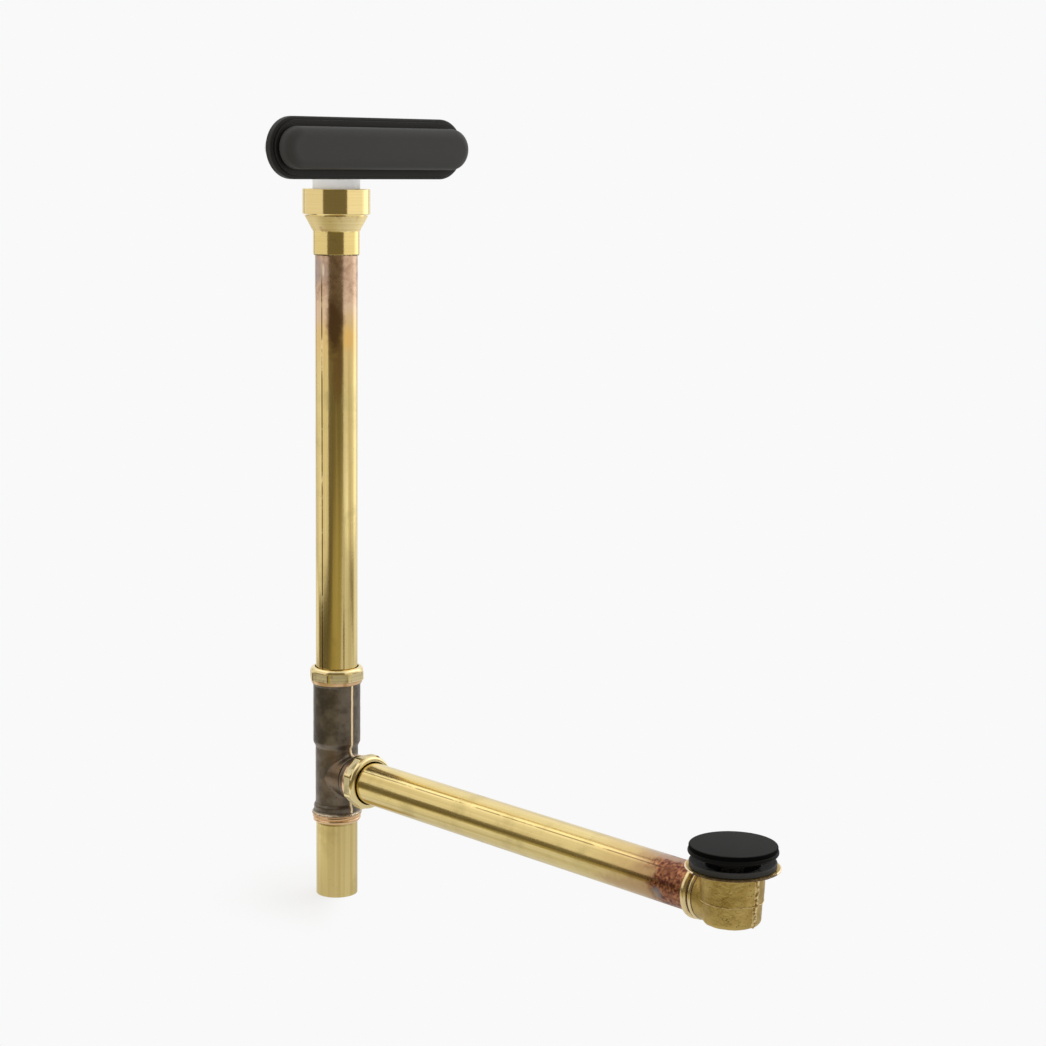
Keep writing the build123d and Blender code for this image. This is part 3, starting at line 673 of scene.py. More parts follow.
@dataclass(frozen=True)
class CastMetal(Finish):
    """Casting with its sand skin, brighter where it is worn or ground."""

    low: Colour
    high: Colour
    pit: Colour
    bright: Colour
    metal: float
    rough: float
    grain: float
    depth: float
    warm: Colour
    warm_at: Spot
    warm_reach: float
    warm_core: float = 0.2
    warm_scale: float = 85.0
    warm_cloud: Flat = (0.35, 0.65)
    tones: Flat = (0.36, 0.64)
    tone_rough: float = 0.2
    rubbed: Flat = (0.3, 0.55)
    rubbed_smooth: float = 0.2
    relief: float = 0.6

    def wire(self, wiring: Wiring, shader: Any, place: Any) -> None:
        """Lay tone, warmth, pits and worn places over the casting.

        Args:
            wiring: Wiring of the material.
            shader: Its Principled shader.
            place: Object coordinates.
        """
        skin = SKIN.place(wiring, Place=place, Grain=self.grain)
        away = wiring.vector("LENGTH", wiring.vector("SUBTRACT", place, self.warm_at))
        start, full = self.warm_cloud
        cloud = BLOTCHES.place(wiring, Place=place, Scale=self.warm_scale, Start=start, Full=full)
        near = wiring.span(away, self.warm_reach, self.warm_core * self.warm_reach)
        heat = wiring.math("MULTIPLY", near, cloud["Mask"])
        colour = wiring.mix(wiring.span(skin["Tone"], *self.tones), self.low, self.high)
        colour = wiring.mix(heat, colour, self.warm)
        colour = wiring.mix(skin["Pits"], colour, self.pit)
        worn = wiring.add("ShaderNodeAttribute", attribute_name="worn").outputs["Fac"]
        rubbed = wiring.math("MULTIPLY", worn, wiring.span(skin["Height"], *self.rubbed))
        colour = wiring.mix(rubbed, colour, self.bright)
        rough = wiring.math("MULTIPLY_ADD", skin["Tone"], self.tone_rough, self.rough - self.tone_rough / 2)
        wiring.feed(shader.inputs["Base Color"], colour)
        wiring.feed(shader.inputs["Roughness"], wiring.math("MULTIPLY_ADD", rubbed, -self.rubbed_smooth, rough))
        shader.inputs["Metallic"].default_value = self.metal
        wiring.relief(shader, skin["Height"], self.relief, self.depth)


@dataclass(frozen=True)
class Painted(Finish):
    """Paint, plastic or rubber: plain colour with nibs, soft smears and a changing sheen."""

    base: Colour
    smear: Colour
    rough: float
    gloss: float = 0.5
    nib: float = 900.0
    nib_cover: float = 0.3
    nib_share: float = 0.3
    nib_rough: float = 0.08
    smear_scale: float = 28.0
    smears: Flat = (0.42, 0.7)
    smear_share: float = 0.5
    smear_rough: float = 0.12
    relief: float = 0.1
    relief_depth: float = 0.0001

    def wire(self, wiring: Wiring, shader: Any, place: Any) -> None:
        """Lay nibs and smears over the colour.

        Args:
            wiring: Wiring of the material.
            shader: Its Principled shader.
            place: Object coordinates.
        """
        nibs = SPECKLE.place(wiring, Place=place, Scale=self.nib, Share=self.nib_cover)
        start, full = self.smears
        smears = BLOTCHES.place(wiring, Place=place, Scale=self.smear_scale, Start=start, Full=full)
        colour = wiring.mix(wiring.math("MULTIPLY", smears["Mask"], self.smear_share), self.base, self.smear)
        colour = wiring.mix(wiring.math("MULTIPLY", nibs["Mask"], self.nib_share), colour, self.smear)
        wiring.feed(shader.inputs["Base Color"], colour)
        rough = wiring.math("MULTIPLY_ADD", smears["Cloud"], self.smear_rough, self.rough - self.smear_rough / 2)
        wiring.feed(shader.inputs["Roughness"], wiring.math("MULTIPLY_ADD", nibs["Height"], self.nib_rough, rough))
        shader.inputs["Specular IOR Level"].default_value = self.gloss
        wiring.relief(shader, nibs["Height"], self.relief, self.relief_depth)


@dataclass(frozen=True)
class PlainSteel(Finish):
    """Turned steel of the hidden fittings."""

    pale: Colour = (0.66, 0.66, 0.65)
    deep: Colour = (0.5, 0.5, 0.5)
    dull: Colour = (0.42, 0.41, 0.4)
    dull_scale: float = 150.0
    dulled: Flat = (0.5, 0.7)
    line_across: float = 2200.0
    line_along: float = 40.0
    line_rough: float = 0.2
    rough: float = 0.2

    def wire(self, wiring: Wiring, shader: Any, place: Any) -> None:
        """Lay turning lines and a few dull patches over the steel.

        Args:
            wiring: Wiring of the material.
            shader: Its Principled shader.
            place: Object coordinates.
        """
        lines = STREAKS.place(wiring, Place=place, Scale=(self.line_along, self.line_along, self.line_across))
        start, full = self.dulled
        patch = BLOTCHES.place(wiring, Place=place, Scale=self.dull_scale, Start=start, Full=full)
        colour = wiring.mix(lines["Coarse"], self.deep, self.pale)
        wiring.feed(shader.inputs["Base Color"], wiring.mix(patch["Mask"], colour, self.dull))
        rough = wiring.math("MULTIPLY_ADD", lines["Fine"], self.line_rough, self.rough)
        wiring.feed(shader.inputs["Roughness"], rough)
        shader.inputs["Metallic"].default_value = 1.0


class Finishes:
    """Finishes of this fitting, in linear colour."""

    overflow_tube = DrawnBrass(
        "drawn_brass_overflow", along=Z, axis=(0.0, 0.0, 0.0), seam=(-0.99, -0.142, 0.0), scraped=0.7, rough=0.17,
        stain=Stain(joint=0.5916, away=-1.0, reach=0.125, ragged=0.26, near=(0.62, 0.43, 0.3),
                    middle=(0.74, 0.54, 0.37), far=(0.76, 0.55, 0.24), fleck=(0.44, 0.28, 0.19), fleck_size=0.006,
                    rough=0.1, patches=(
                        Patch((0.4, 0.31, 0.3), (-0.0185, 0.003, 0.577), (0.02, 0.02, 0.018), 0.7),
                        # These two dark brown upright patches, on the side that faces the camera, are painted dark
                        # reflection over the heat stain.
                        Patch((0.27, 0.15, 0.085), (-0.0131, -0.0138, 0.53), (0.012, 0.012, 0.04), 0.9),
                        Patch((0.5, 0.29, 0.14), (-0.0108, -0.0157, 0.485), (0.007, 0.007, 0.042), 0.6),
                        Patch((0.88, 0.54, 0.17), (-0.0018, -0.019, 0.518), (0.01, 0.01, 0.017), 0.7),
                        Patch((0.95, 0.84, 0.6), (-0.0185, -0.0045, 0.578), (0.0018, 0.0018, 0.009), 0.5),
                    )),
    )
    waste_tube = DrawnBrass(
        "drawn_brass_waste", along=Y, axis=(0.0, 0.0, 0.115), seam=(-0.677, 0.0, 0.736), seam_strength=0.62, rough=0.17,
        stain=Stain(joint=-0.45, away=1.0, reach=0.12, ragged=0.34, near=(0.13, 0.04, 0.03), middle=(0.5, 0.33, 0.16),
                    far=(0.68, 0.5, 0.22), fleck=(0.52, 0.23, 0.11), fleck_size=0.0032, rough=0.2,
                    patches=(
                        Patch((0.2, 0.2, 0.22), (-0.018, -0.423, 0.109), (0.008, 0.008, 0.008), 0.8),
                        Patch((0.5, 0.33, 0.17), (-0.0165, -0.39, 0.1055), (0.013, 0.05, 0.013), 0.75),
                        Patch((0.44, 0.3, 0.21), (-0.001, -0.418, 0.134), (0.008, 0.03, 0.0035), 0.8),
                        Patch((0.17, 0.065, 0.035), (-0.0139, -0.43, 0.1281), (0.008, 0.016, 0.007), 0.6),
                    )),
    )
    tailpiece = DrawnBrass("drawn_brass_tailpiece", along=Z, axis=(0.0, 0.0, 0.0), seam=(0.4, 0.9165, 0.0),
                           seam_strength=0.5, rough=0.3)
    nut_upper = TurnedBrass("polished_brass_upper", Z, (0.88, 0.74, 0.42), (0.76, 0.6, 0.29), 0.12)
    nut_branch = replace(nut_upper, name="polished_brass_branch", turned_on=Y)
    flats_upper = TurnedBrass("milled_brass_upper", Z, (0.92, 0.82, 0.54), (0.74, 0.64, 0.38), 0.5, lines=3.0,
                              tarnish=(0.45, 0.38, 0.2), tarnish_start=0.5)
    flats_branch = replace(flats_upper, name="milled_brass_branch", turned_on=Y)
    ring_nut = TurnedBrass("polished_brass_ring", Z, (0.84, 0.67, 0.32), (0.79, 0.62, 0.285), 0.09, lines=0.25)
    adaptor = TurnedBrass("polished_brass_adaptor", Z, (0.82, 0.65, 0.28), (0.75, 0.58, 0.235), 0.12,
                          tarnish=(0.55, 0.35, 0.18), tarnish_start=0.56, lines=0.4)
    cone = TurnedBrass("satin_brass_cone", Z, (0.95, 0.79, 0.43), (0.86, 0.69, 0.34), 0.42,
                       tarnish=(0.58, 0.36, 0.18), tarnish_start=0.52, lines=0.2)
    braze = TurnedBrass("braze_metal", X, (0.74, 0.58, 0.34), (0.2, 0.13, 0.07), 0.34, tarnish=(0.06, 0.04, 0.03),
                        tarnish_start=0.42)
    machined_upper = TurnedBrass("machined_copper_tone", Z, (0.88, 0.62, 0.38), (0.64, 0.4, 0.22), 0.2)
    machined_branch = replace(machined_upper, name="machined_copper_tone_branch", turned_on=Y)
    # Pale brass made partly non-metal, so that the ground line lights up as a painted highlight.
    ground = TurnedBrass("ground_flash_painted_highlight", X, (1.0, 0.84, 0.58), (0.92, 0.68, 0.42), 0.36, metal=0.4)
    rim = TurnedBrass("polished_shoe_rim", Z, (0.86, 0.68, 0.46), (0.74, 0.54, 0.34), 0.1, lines=0.3)
    collar = TurnedBrass("polished_shoe_collar", Y, (0.88, 0.72, 0.42), (0.74, 0.57, 0.29), 0.2,
                         tarnish=(0.36, 0.21, 0.1), tarnish_start=0.55, lines=0.4)
    # Dark brown for the collar's grooves, and painted dark reflection on the rim's side that faces the camera.
    groove = TurnedBrass("dark_shoe_groove_and_painted_rim_shade", Y, (0.2, 0.13, 0.07), (0.1, 0.06, 0.03), 0.4)
    flash = TurnedBrass("bright_shoe_flash", X, (0.95, 0.78, 0.47), (0.5, 0.34, 0.13), 0.28, tarnish=(0.4, 0.26, 0.08),
                        tarnish_start=0.5)
    tee = CastMetal(
        "dark_cast_tee", low=(0.1, 0.083, 0.067), high=(0.2, 0.168, 0.136), pit=(0.05, 0.042, 0.034),
        bright=(0.85, 0.68, 0.48), metal=0.85, rough=0.34, grain=700.0, depth=0.0003, warm=(0.2, 0.13, 0.075),
        warm_at=(-0.02, -0.028, 0.115), warm_reach=0.045,
    )
    shoe = CastMetal(
        "cast_brass_shoe", low=(0.43, 0.29, 0.08), high=(0.62, 0.45, 0.155), pit=(0.28, 0.185, 0.055),
        bright=(0.9, 0.74, 0.4), metal=1.0, rough=0.4, grain=560.0, depth=0.001, warm=(0.42, 0.25, 0.12),
        warm_at=(0.0, -0.45, 0.115), warm_reach=0.03,
    )
    trim = Painted("black_paint", (0.02, 0.0195, 0.0195), (0.027, 0.026, 0.026), 0.55, gloss=0.42)
    plate = Painted("black_plate_paint", (0.007, 0.0068, 0.0068), (0.011, 0.0107, 0.0107), 0.5, gloss=0.27)
    stopper = Painted("black_stopper_paint", (0.003, 0.003, 0.003), (0.006, 0.006, 0.006), 0.7, gloss=0.19)
    # Blacker, duller copy of the cap's paint for its side: painted shade.
    stopper_painted_shade = Painted("black_stopper_painted_shade", (0.0008, 0.0008, 0.0008), (0.002, 0.002, 0.002), 0.7, gloss=0.04)
    rubber = Painted("black_rubber_skin", (0.002, 0.002, 0.002), (0.004, 0.004, 0.004), 0.5, gloss=0.1, nib=600.0)
    plastic = Painted("moulded_black_plastic", (0.01, 0.01, 0.01), (0.018, 0.018, 0.018), 0.5, gloss=0.3)
    moulded = Painted("moulded_white_plastic", (0.9, 0.92, 0.97), (0.86, 0.88, 0.93), 0.4)
    steel = PlainSteel("turned_steel")


@dataclass(frozen=True)
class Corner:
    """Corner of a turned outline, in millimetres."""

    r: float
    z: float
    round: float = 0.0
    cut: Cut = Cut.PLAIN


def arc_through(start: Flat, middle: Flat, end: Flat, steps: int) -> list[Corner]:
    """Sample the arc through three points.

    Args:
        start: First point (radius, height).
        middle: Point on the arc.
        end: Last point.
        steps: Number of steps.

    Returns:
        Corners along the arc.
    """
    (ax, ay), (bx, by), (cx, cy) = start, middle, end
    d = 2 * (ax * (by - cy) + bx * (cy - ay) + cx * (ay - by))
    ux = ((ax**2 + ay**2) * (by - cy) + (bx**2 + by**2) * (cy - ay) + (cx**2 + cy**2) * (ay - by)) / d
    uy = ((ax**2 + ay**2) * (cx - bx) + (bx**2 + by**2) * (ax - cx) + (cx**2 + cy**2) * (bx - ax)) / d
    first, mid, last = (math.atan2(y - uy, x - ux) for x, y in (start, middle, end))
    sweep = (last - first) % math.tau
    if (mid - first) % math.tau > sweep:
        sweep -= math.tau
    size = math.hypot(ax - ux, ay - uy)
    turns = (first + sweep * step / steps for step in range(steps + 1))
    return [Corner(ux + size * math.cos(turn), uy + size * math.sin(turn)) for turn in turns]


def rounded(outline: Sequence[Corner], steps: int = 5) -> list[tuple[float, int, float]]:
    """Round the corners of a closed outline, with a point beside each arc that keeps the flats flat.

    Args:
        outline: Corners in order.
        steps: Steps in each arc.

    Returns:
        Points (radius, cut, height) in millimetres; the last repeats the first.
    """
    points = []
    for index, corner in enumerate(outline):
        here = Vector((corner.r, corner.z))
        before, after = outline[index - 1], outline[(index + 1) % len(outline)]
        back, ahead = Vector((before.r, before.z)) - here, Vector((after.r, after.z)) - here
        if corner.round == 0.0:
            points.append((corner.r, corner.cut.value, corner.z))
            continue
        half = back.angle(ahead) / 2
        reach = min(corner.round / math.tan(half), CORNER_SHARE * back.length, CORNER_SHARE * ahead.length)
        size = reach * math.tan(half)
        back.normalize()
        ahead.normalize()
        centre = here + (back + ahead).normalized() * size / math.sin(half)
        start, end = here + back * reach - centre, here + ahead * reach - centre
        turn = start.angle_signed(end)
        arc = [centre + Matrix.Rotation(-turn * step / steps, 2) @ start for step in range(steps + 1)]
        margin = FLAT_MARGIN * reach
        for spot in (here + back * (reach + margin), *arc, here + ahead * (reach + margin)):
            points.append((spot.x, corner.cut.value, spot.y))
    return points + points[:1]


class Spindle(Enum):
    """Axes that round pieces are turned on."""

    RUN = (0.0, 0.0, 0.0, 0.0)
    UPPER_SEAT = (0.0, 0.0, 0.2124, 0.0)
    BRANCH = (0.0, 0.0, 0.115, 90.0)
    BRANCH_SEAT = (0.0, -0.0475, 0.115, 90.0)
    DRAIN = (0.0, -0.485, 0.0, 0.0)

    def matrix(self) -> Matrix:
        """Return the turn and shift from the lathe to the part."""
        x, y, z, tilt = self.value
        return Matrix.Translation((x, y, z)) @ Matrix.Rotation(math.radians(tilt), 4, "X")


def show(name: str, data: Any) -> bpy.types.Object:
    """Put a new object into the scene.

    Args:
        name: Name of the object.
        data: Mesh, lamp or camera that it shows.

    Returns:
        The new object.
    """
    made = bpy.data.objects.new(name, data)
    bpy.context.scene.collection.objects.link(made)
    return made


def plain(holder: bpy.types.Object) -> bpy.types.Mesh:
    """Turn what an object's modifiers make of it into a plain mesh, and take the object away.

    Args:
        holder: Object with modifiers.

    Returns:
        The plain mesh.
    """
    depsgraph = bpy.context.evaluated_depsgraph_get()
    mesh = bpy.data.meshes.new_from_object(holder.evaluated_get(depsgraph), depsgraph=depsgraph)
    holder.modifiers.clear()
    bpy.data.objects.remove(holder)
    return mesh


class Shaper:
    """Runs one Geometry Nodes tree on a start mesh and keeps the result as a plain mesh."""

    title: str = ""
    takes: Sequence[Port] = ()

    def wire(self, wiring: Wiring, given: Any) -> Any:
        """Fill the tree.

        Args:
            wiring: Wiring of the tree.
            given: Sockets of the tree's input node.

        Returns:
            The socket of the finished shape.
        """
        raise NotImplementedError

    def tree(self) -> bpy.types.NodeTree:
        """Return the tree, built the first time.

        Returns:
            The Geometry Nodes tree.
        """
        found = bpy.data.node_groups.get(self.title)
        if found:
            return found
        ports = (Port("Start", SHAPE), *self.takes, Port("Material", MATERIAL))
        tree = new_tree(self.title, "GeometryNodeTree", ports, (Port("Shape", SHAPE),))
        wiring = Wiring(tree)
        given = wiring.add("NodeGroupInput").outputs
        whole = wiring.out("GeometryNodeRealizeInstances", {0: self.wire(wiring, given)})
        dressed = wiring.out("GeometryNodeSetMaterial", {"Geometry": whole, "Material": given["Material"]})
        wiring.add("NodeGroupOutput", {"Shape": dressed})
        return tree

    def run(self, start: bpy.types.Mesh, finish: Finish, **values: Any) -> bpy.types.Mesh:
        """Shape a start mesh.

        Args:
            start: Points or edges that the tree reads.
            finish: Finish of the result.
            values: Sizes by input name, with _ for a space.

        Returns:
            The finished mesh.
        """
        tree = self.tree()
        holder = show("shaper", start)
        modifier = holder.modifiers.new("shape", "NODES")
        modifier.node_group = tree
        named = {name.replace("_", " "): value for name, value in values.items()}
        named["Material"] = finish.material()
        for item in tree.interface.items_tree:
            if item.in_out == "INPUT" and item.name in named:
                modifier[item.identifier] = named[item.name]
        return plain(holder)


class Lathe(Shaper):
    """Turns an outline about Z, and cuts flats or a thread where the outline asks for them."""

    title = "Turned Piece"
    takes = (Port("Segments", WHOLE, 192), Port("Flats", WHOLE, 8), Port("Across Flats", value=0.0474),
             Port("Pitch", value=0.003), Port("Depth", value=0.001))
    cut_margin = 0.1
    crest_top = 0.82
    crest_ease = 0.2

    def wire(self, wiring: Wiring, given: Any) -> Any:
        """Wrap a grid round the axis, one row for each point of the outline.

        Args:
            wiring: Wiring of the tree.
            given: Sockets of the tree's input node.

        Returns:
            The socket of the finished shape.
        """
        outline = given["Start"]
        count = wiring.add("GeometryNodeAttributeDomainSize", {"Geometry": outline}).outputs["Point Count"]
        last = wiring.math("SUBTRACT", count, 1.0)
        grid = wiring.add("GeometryNodeMeshGrid", {
            "Size X": 1.0, "Size Y": last,
            "Vertices X": wiring.math("ADD", given["Segments"], 1.0), "Vertices Y": count,
        }).outputs["Mesh"]
        position = wiring.out("GeometryNodeInputPosition")
        column, row, _ = wiring.parts(position)
        turn = wiring.math("MULTIPLY", column, math.tau)
        index = wiring.math("ROUND", wiring.math("MULTIPLY_ADD", last, 0.5, row))
        corner = wiring.add("GeometryNodeSampleIndex", {"Geometry": outline, "Index": index},
                            data_type="FLOAT_VECTOR")
        wiring.feed(corner.inputs["Value"], position)
        radius, cut, height = wiring.parts(corner.outputs[0])
        half = wiring.math("DIVIDE", math.pi, given["Flats"])
        off_flat = wiring.math("WRAP", turn, half, wiring.math("MULTIPLY", half, -1.0))
        flat = wiring.math("MULTIPLY", given["Across Flats"], 0.5)
        flat = wiring.math("DIVIDE", flat, wiring.math("COSINE", off_flat))
        on_flat = wiring.math("COMPARE", cut, float(Cut.FLATS.value), self.cut_margin)
        cut_back = wiring.math("SUBTRACT", wiring.math("MINIMUM", radius, flat), radius)
        radius = wiring.math("MULTIPLY_ADD", cut_back, on_flat, radius)
        phase = wiring.math("FRACT", wiring.math("SUBTRACT", wiring.math("DIVIDE", height, given["Pitch"]), column))
        crest = wiring.math("SUBTRACT", 1.0, wiring.math("ABSOLUTE", wiring.math("MULTIPLY_ADD", phase, 2.0, -1.0)))
        on_thread = wiring.math("COMPARE", cut, float(Cut.THREAD.value), self.cut_margin)
        crest = wiring.math("SMOOTH_MIN", crest, self.crest_top, self.crest_ease)
        rise = wiring.math("MULTIPLY", crest, given["Depth"])
        radius = wiring.math("MULTIPLY_ADD", rise, on_thread, radius)
        spot = wiring.out("ShaderNodeCombineXYZ", {
            0: wiring.math("MULTIPLY", radius, wiring.math("COSINE", turn)),
            1: wiring.math("MULTIPLY", radius, wiring.math("SINE", turn)),
            2: height,
        })
        wrapped = wiring.out("GeometryNodeSetPosition", {"Geometry": grid, "Position": spot})
        return wiring.out("GeometryNodeMergeByDistance", {"Geometry": wrapped, "Distance": MERGE_DISTANCE})

    def turn(self, outline: Sequence[Corner], spindle: Spindle, finish: Finish, **values: Any) -> bpy.types.Mesh:
        """Turn an outline on a spindle.

        Args:
            outline: Closed outline in millimetres.
            spindle: Axis that it is turned on.
            finish: Finish of the piece.
            values: Sizes of flats or thread.

        Returns:
            The turned mesh, in place.
        """
        points = [(r * MM, cut, z * MM) for r, cut, z in rounded(outline)]
        start = bpy.data.meshes.new("outline")
        start.from_pydata(points, [], [])
        mesh = self.run(start, finish, **values)
        mesh.transform(spindle.matrix())
        return smooth(mesh)


class Flash(Shaper):
    """Sweeps an uneven raised line along a path, such as the parting line of a casting."""

    title = "Parting Line"
    takes = (Port("Width", value=0.0014), Port("Wobble", value=0.0002), Port("Step", value=0.0006))
    drift_scale = 240.0
    drift_detail = 3.0
    sides = 10

    def wire(self, wiring: Wiring, given: Any) -> Any:
        """Follow the path with a small round bar that wanders.

        Args:
            wiring: Wiring of the tree.
            given: Sockets of the tree's input node.

        Returns:
            The socket of the finished shape.
        """
        path = wiring.out("GeometryNodeMeshToCurve", {0: given["Start"]})
        fine = wiring.out("GeometryNodeResampleCurve", {"Curve": path, "Length": given["Step"]}, mode="LENGTH")
        position = wiring.out("GeometryNodeInputPosition")
        inputs = {"Vector": position, "Scale": self.drift_scale, "Detail": self.drift_detail}
        cloud = wiring.add("ShaderNodeTexNoise", inputs).outputs["Color"]
        drift = wiring.vector("SUBTRACT", cloud, (0.5, 0.5, 0.5))
        scale = wiring.out("ShaderNodeVectorMath", {0: drift, "Scale": given["Wobble"]}, operation="SCALE")
        bent = wiring.out("GeometryNodeSetPosition", {"Geometry": fine, "Offset": scale})
        bar = wiring.out("GeometryNodeCurvePrimitiveCircle", {
            "Resolution": self.sides, "Radius": wiring.math("MULTIPLY", given["Width"], 0.5),
        })
        return wiring.out("GeometryNodeCurveToMesh", {"Curve": bent, "Profile Curve": bar, "Fill Caps": True})

    def follow(self, paths: Sequence[Sequence[Flat]], finish: Finish, **values: Any) -> bpy.types.Mesh:
        """Lay the line along paths in the plane of the two tubes.

        Args:
            paths: Lists of points (y, z) in millimetres.
            finish: Finish of the line.
            values: Sizes of the line.

        Returns:
            The line's mesh.
        """
        points, edges = [], []
        for path in paths:
            first = len(points)
            points += [(0.0, y * MM, z * MM) for y, z in path]
            edges += [(index, index + 1) for index in range(first, len(points) - 1)]
        return self.lay(points, edges, finish, **values)

    def ring(self, r: float, height: float, spindle: Spindle, finish: Finish, **values: Any) -> bpy.types.Mesh:
        """Lay the line round a spindle.

        Args:
            r: Radius of the ring in millimetres.
            height: Its place along the spindle.
            spindle: Axis that it runs round.
            finish: Finish of the line.
            values: Sizes of the line.

        Returns:
            The line's mesh.
        """
        turns = [math.tau * step / RING_STEPS for step in range(RING_STEPS)]
        points = [spindle.matrix() @ (Vector((r * math.cos(turn), r * math.sin(turn), height)) * MM) for turn in turns]
        edges = [(step, (step + 1) % RING_STEPS) for step in range(RING_STEPS)]
        return self.lay(points, edges, finish, **values)

    def lay(self, points: Sequence[Any], edges: Sequence[tuple[int, int]], finish: Finish,
            **values: Any) -> bpy.types.Mesh:
        """Lay the line along edges.

        Args:
            points: Ends of the edges, in place.
            edges: Pairs of point numbers.
            finish: Finish of the line.
            values: Sizes of the line.

        Returns:
            The line's mesh.
        """
        start = bpy.data.meshes.new("path")
        start.from_pydata(points, edges, [])
        return smooth(self.run(start, finish, **values), LINE_ANGLE)


LATHE, FLASH = Lathe(), Flash()


def smooth(mesh: bpy.types.Mesh, angle: float = SMOOTH_ANGLE) -> bpy.types.Mesh:
    """Point a closed mesh's faces outwards and shade it smooth between its sharp edges.

    Args:
        mesh: Mesh that is changed.
        angle: Edges that turn more than this stay sharp.

    Returns:
        The same mesh.
    """
    work = bmesh.new()
    work.from_mesh(mesh)
    bmesh.ops.remove_doubles(work, verts=work.verts, dist=MERGE_DISTANCE)
    bmesh.ops.recalc_face_normals(work, faces=work.faces)
    work.to_mesh(mesh)
    work.free()
    mesh.shade_smooth()
    mesh.set_sharp_from_angle(angle=angle)
    return mesh


def merged_copy(node: str) -> bpy.types.Mesh:
    """Return a node's shape as one joined mesh with no other data.

    Args:
        node: Name of the CAD node.

    Returns:
        The new mesh.
    """
    work = bmesh.new()
    work.from_mesh(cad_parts[node].data)
    bmesh.ops.remove_doubles(work, verts=work.verts, dist=CAD_MERGE_DISTANCE)
    work.verts.index_update()
    points = [tuple(v.co) for v in work.verts]
    faces = [[v.index for v in face.verts] for face in work.faces]
    work.free()
    mesh = bpy.data.meshes.new(node + "_copy")
    mesh.from_pydata(points, [], faces)
    return mesh


def lumps(point: Vector, *sizes: Flat) -> float:
    """Return the height of an uneven skin at a point, from pairs of height and fineness."""
    return sum(height * noise.noise(point * fineness) for height, fineness in sizes)


def cast(node: str, voxel: float, shift: Callable[[Vector, Vector], tuple[Vector, float]]) -> bpy.types.Mesh:
    """Give a node the soft edges and uneven skin of a casting.

    Args:
        node: Name of the CAD node.
        voxel: Size of the mesh in metres.
        shift: Takes a point and its normal, and returns the point's new place and how worn it is.

    Returns:
        The cast mesh, with its wear as an attribute.
    """
    holder = show("casting", merged_copy(node))
    remesh = holder.modifiers.new("skin", "REMESH")
    remesh.mode = "VOXEL"
    remesh.voxel_size = voxel
    remesh.use_smooth_shade = True
    ease = holder.modifiers.new("ease", "SMOOTH")
    ease.factor = CAST_EASE
    ease.iterations = CAST_PASSES
    mesh = plain(holder)
    worn = mesh.attributes.new("worn", "FLOAT", "POINT")
    normals = [v.normal.copy() for v in mesh.vertices]
    for vertex, normal in zip(mesh.vertices, normals):
        vertex.co, worn.data[vertex.index].value = shift(vertex.co.copy(), normal)
    mesh.shade_smooth()
    return mesh


def put(name: str, mesh: bpy.types.Mesh, body: Body, slot: Slot, finishes: Sequence[Finish],
        *nodes: str) -> bpy.types.Object:
    """Put a finished piece into the scene.

    Args:
        name: Name of the piece.
        mesh: Its mesh, in place.
        body: Body that it moves with.
        slot: Not used.
        finishes: Its finishes, in the order of the faces' material numbers.
        nodes: CAD nodes that it stands for.

    Returns:
        The new object.
    """
    mesh.name = name
    numbers = [0] * len(mesh.polygons)
    mesh.polygons.foreach_get("material_index", numbers)
    mesh.materials.clear()
    for finish in finishes:
        mesh.materials.append(finish.material())
    mesh.polygons.foreach_set("material_index", [min(number, len(finishes) - 1) for number in numbers])
    piece = show(name, mesh)
    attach(piece, body.value)
    if nodes:
        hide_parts(*nodes)
    log.info("%s: %d faces on %s", name, len(mesh.polygons), body.value)
    return piece


def dress(finish: Finish, *nodes: str) -> None:
    """Give CAD nodes that are shown as they are a finish.

    Args:
        finish: The finish.
        nodes: Names of the nodes.
    """
    for node in nodes:
        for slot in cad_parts[node].material_slots:
            slot.material = finish.material()
        log.info("%s: dressed in %s", node, finish.name)


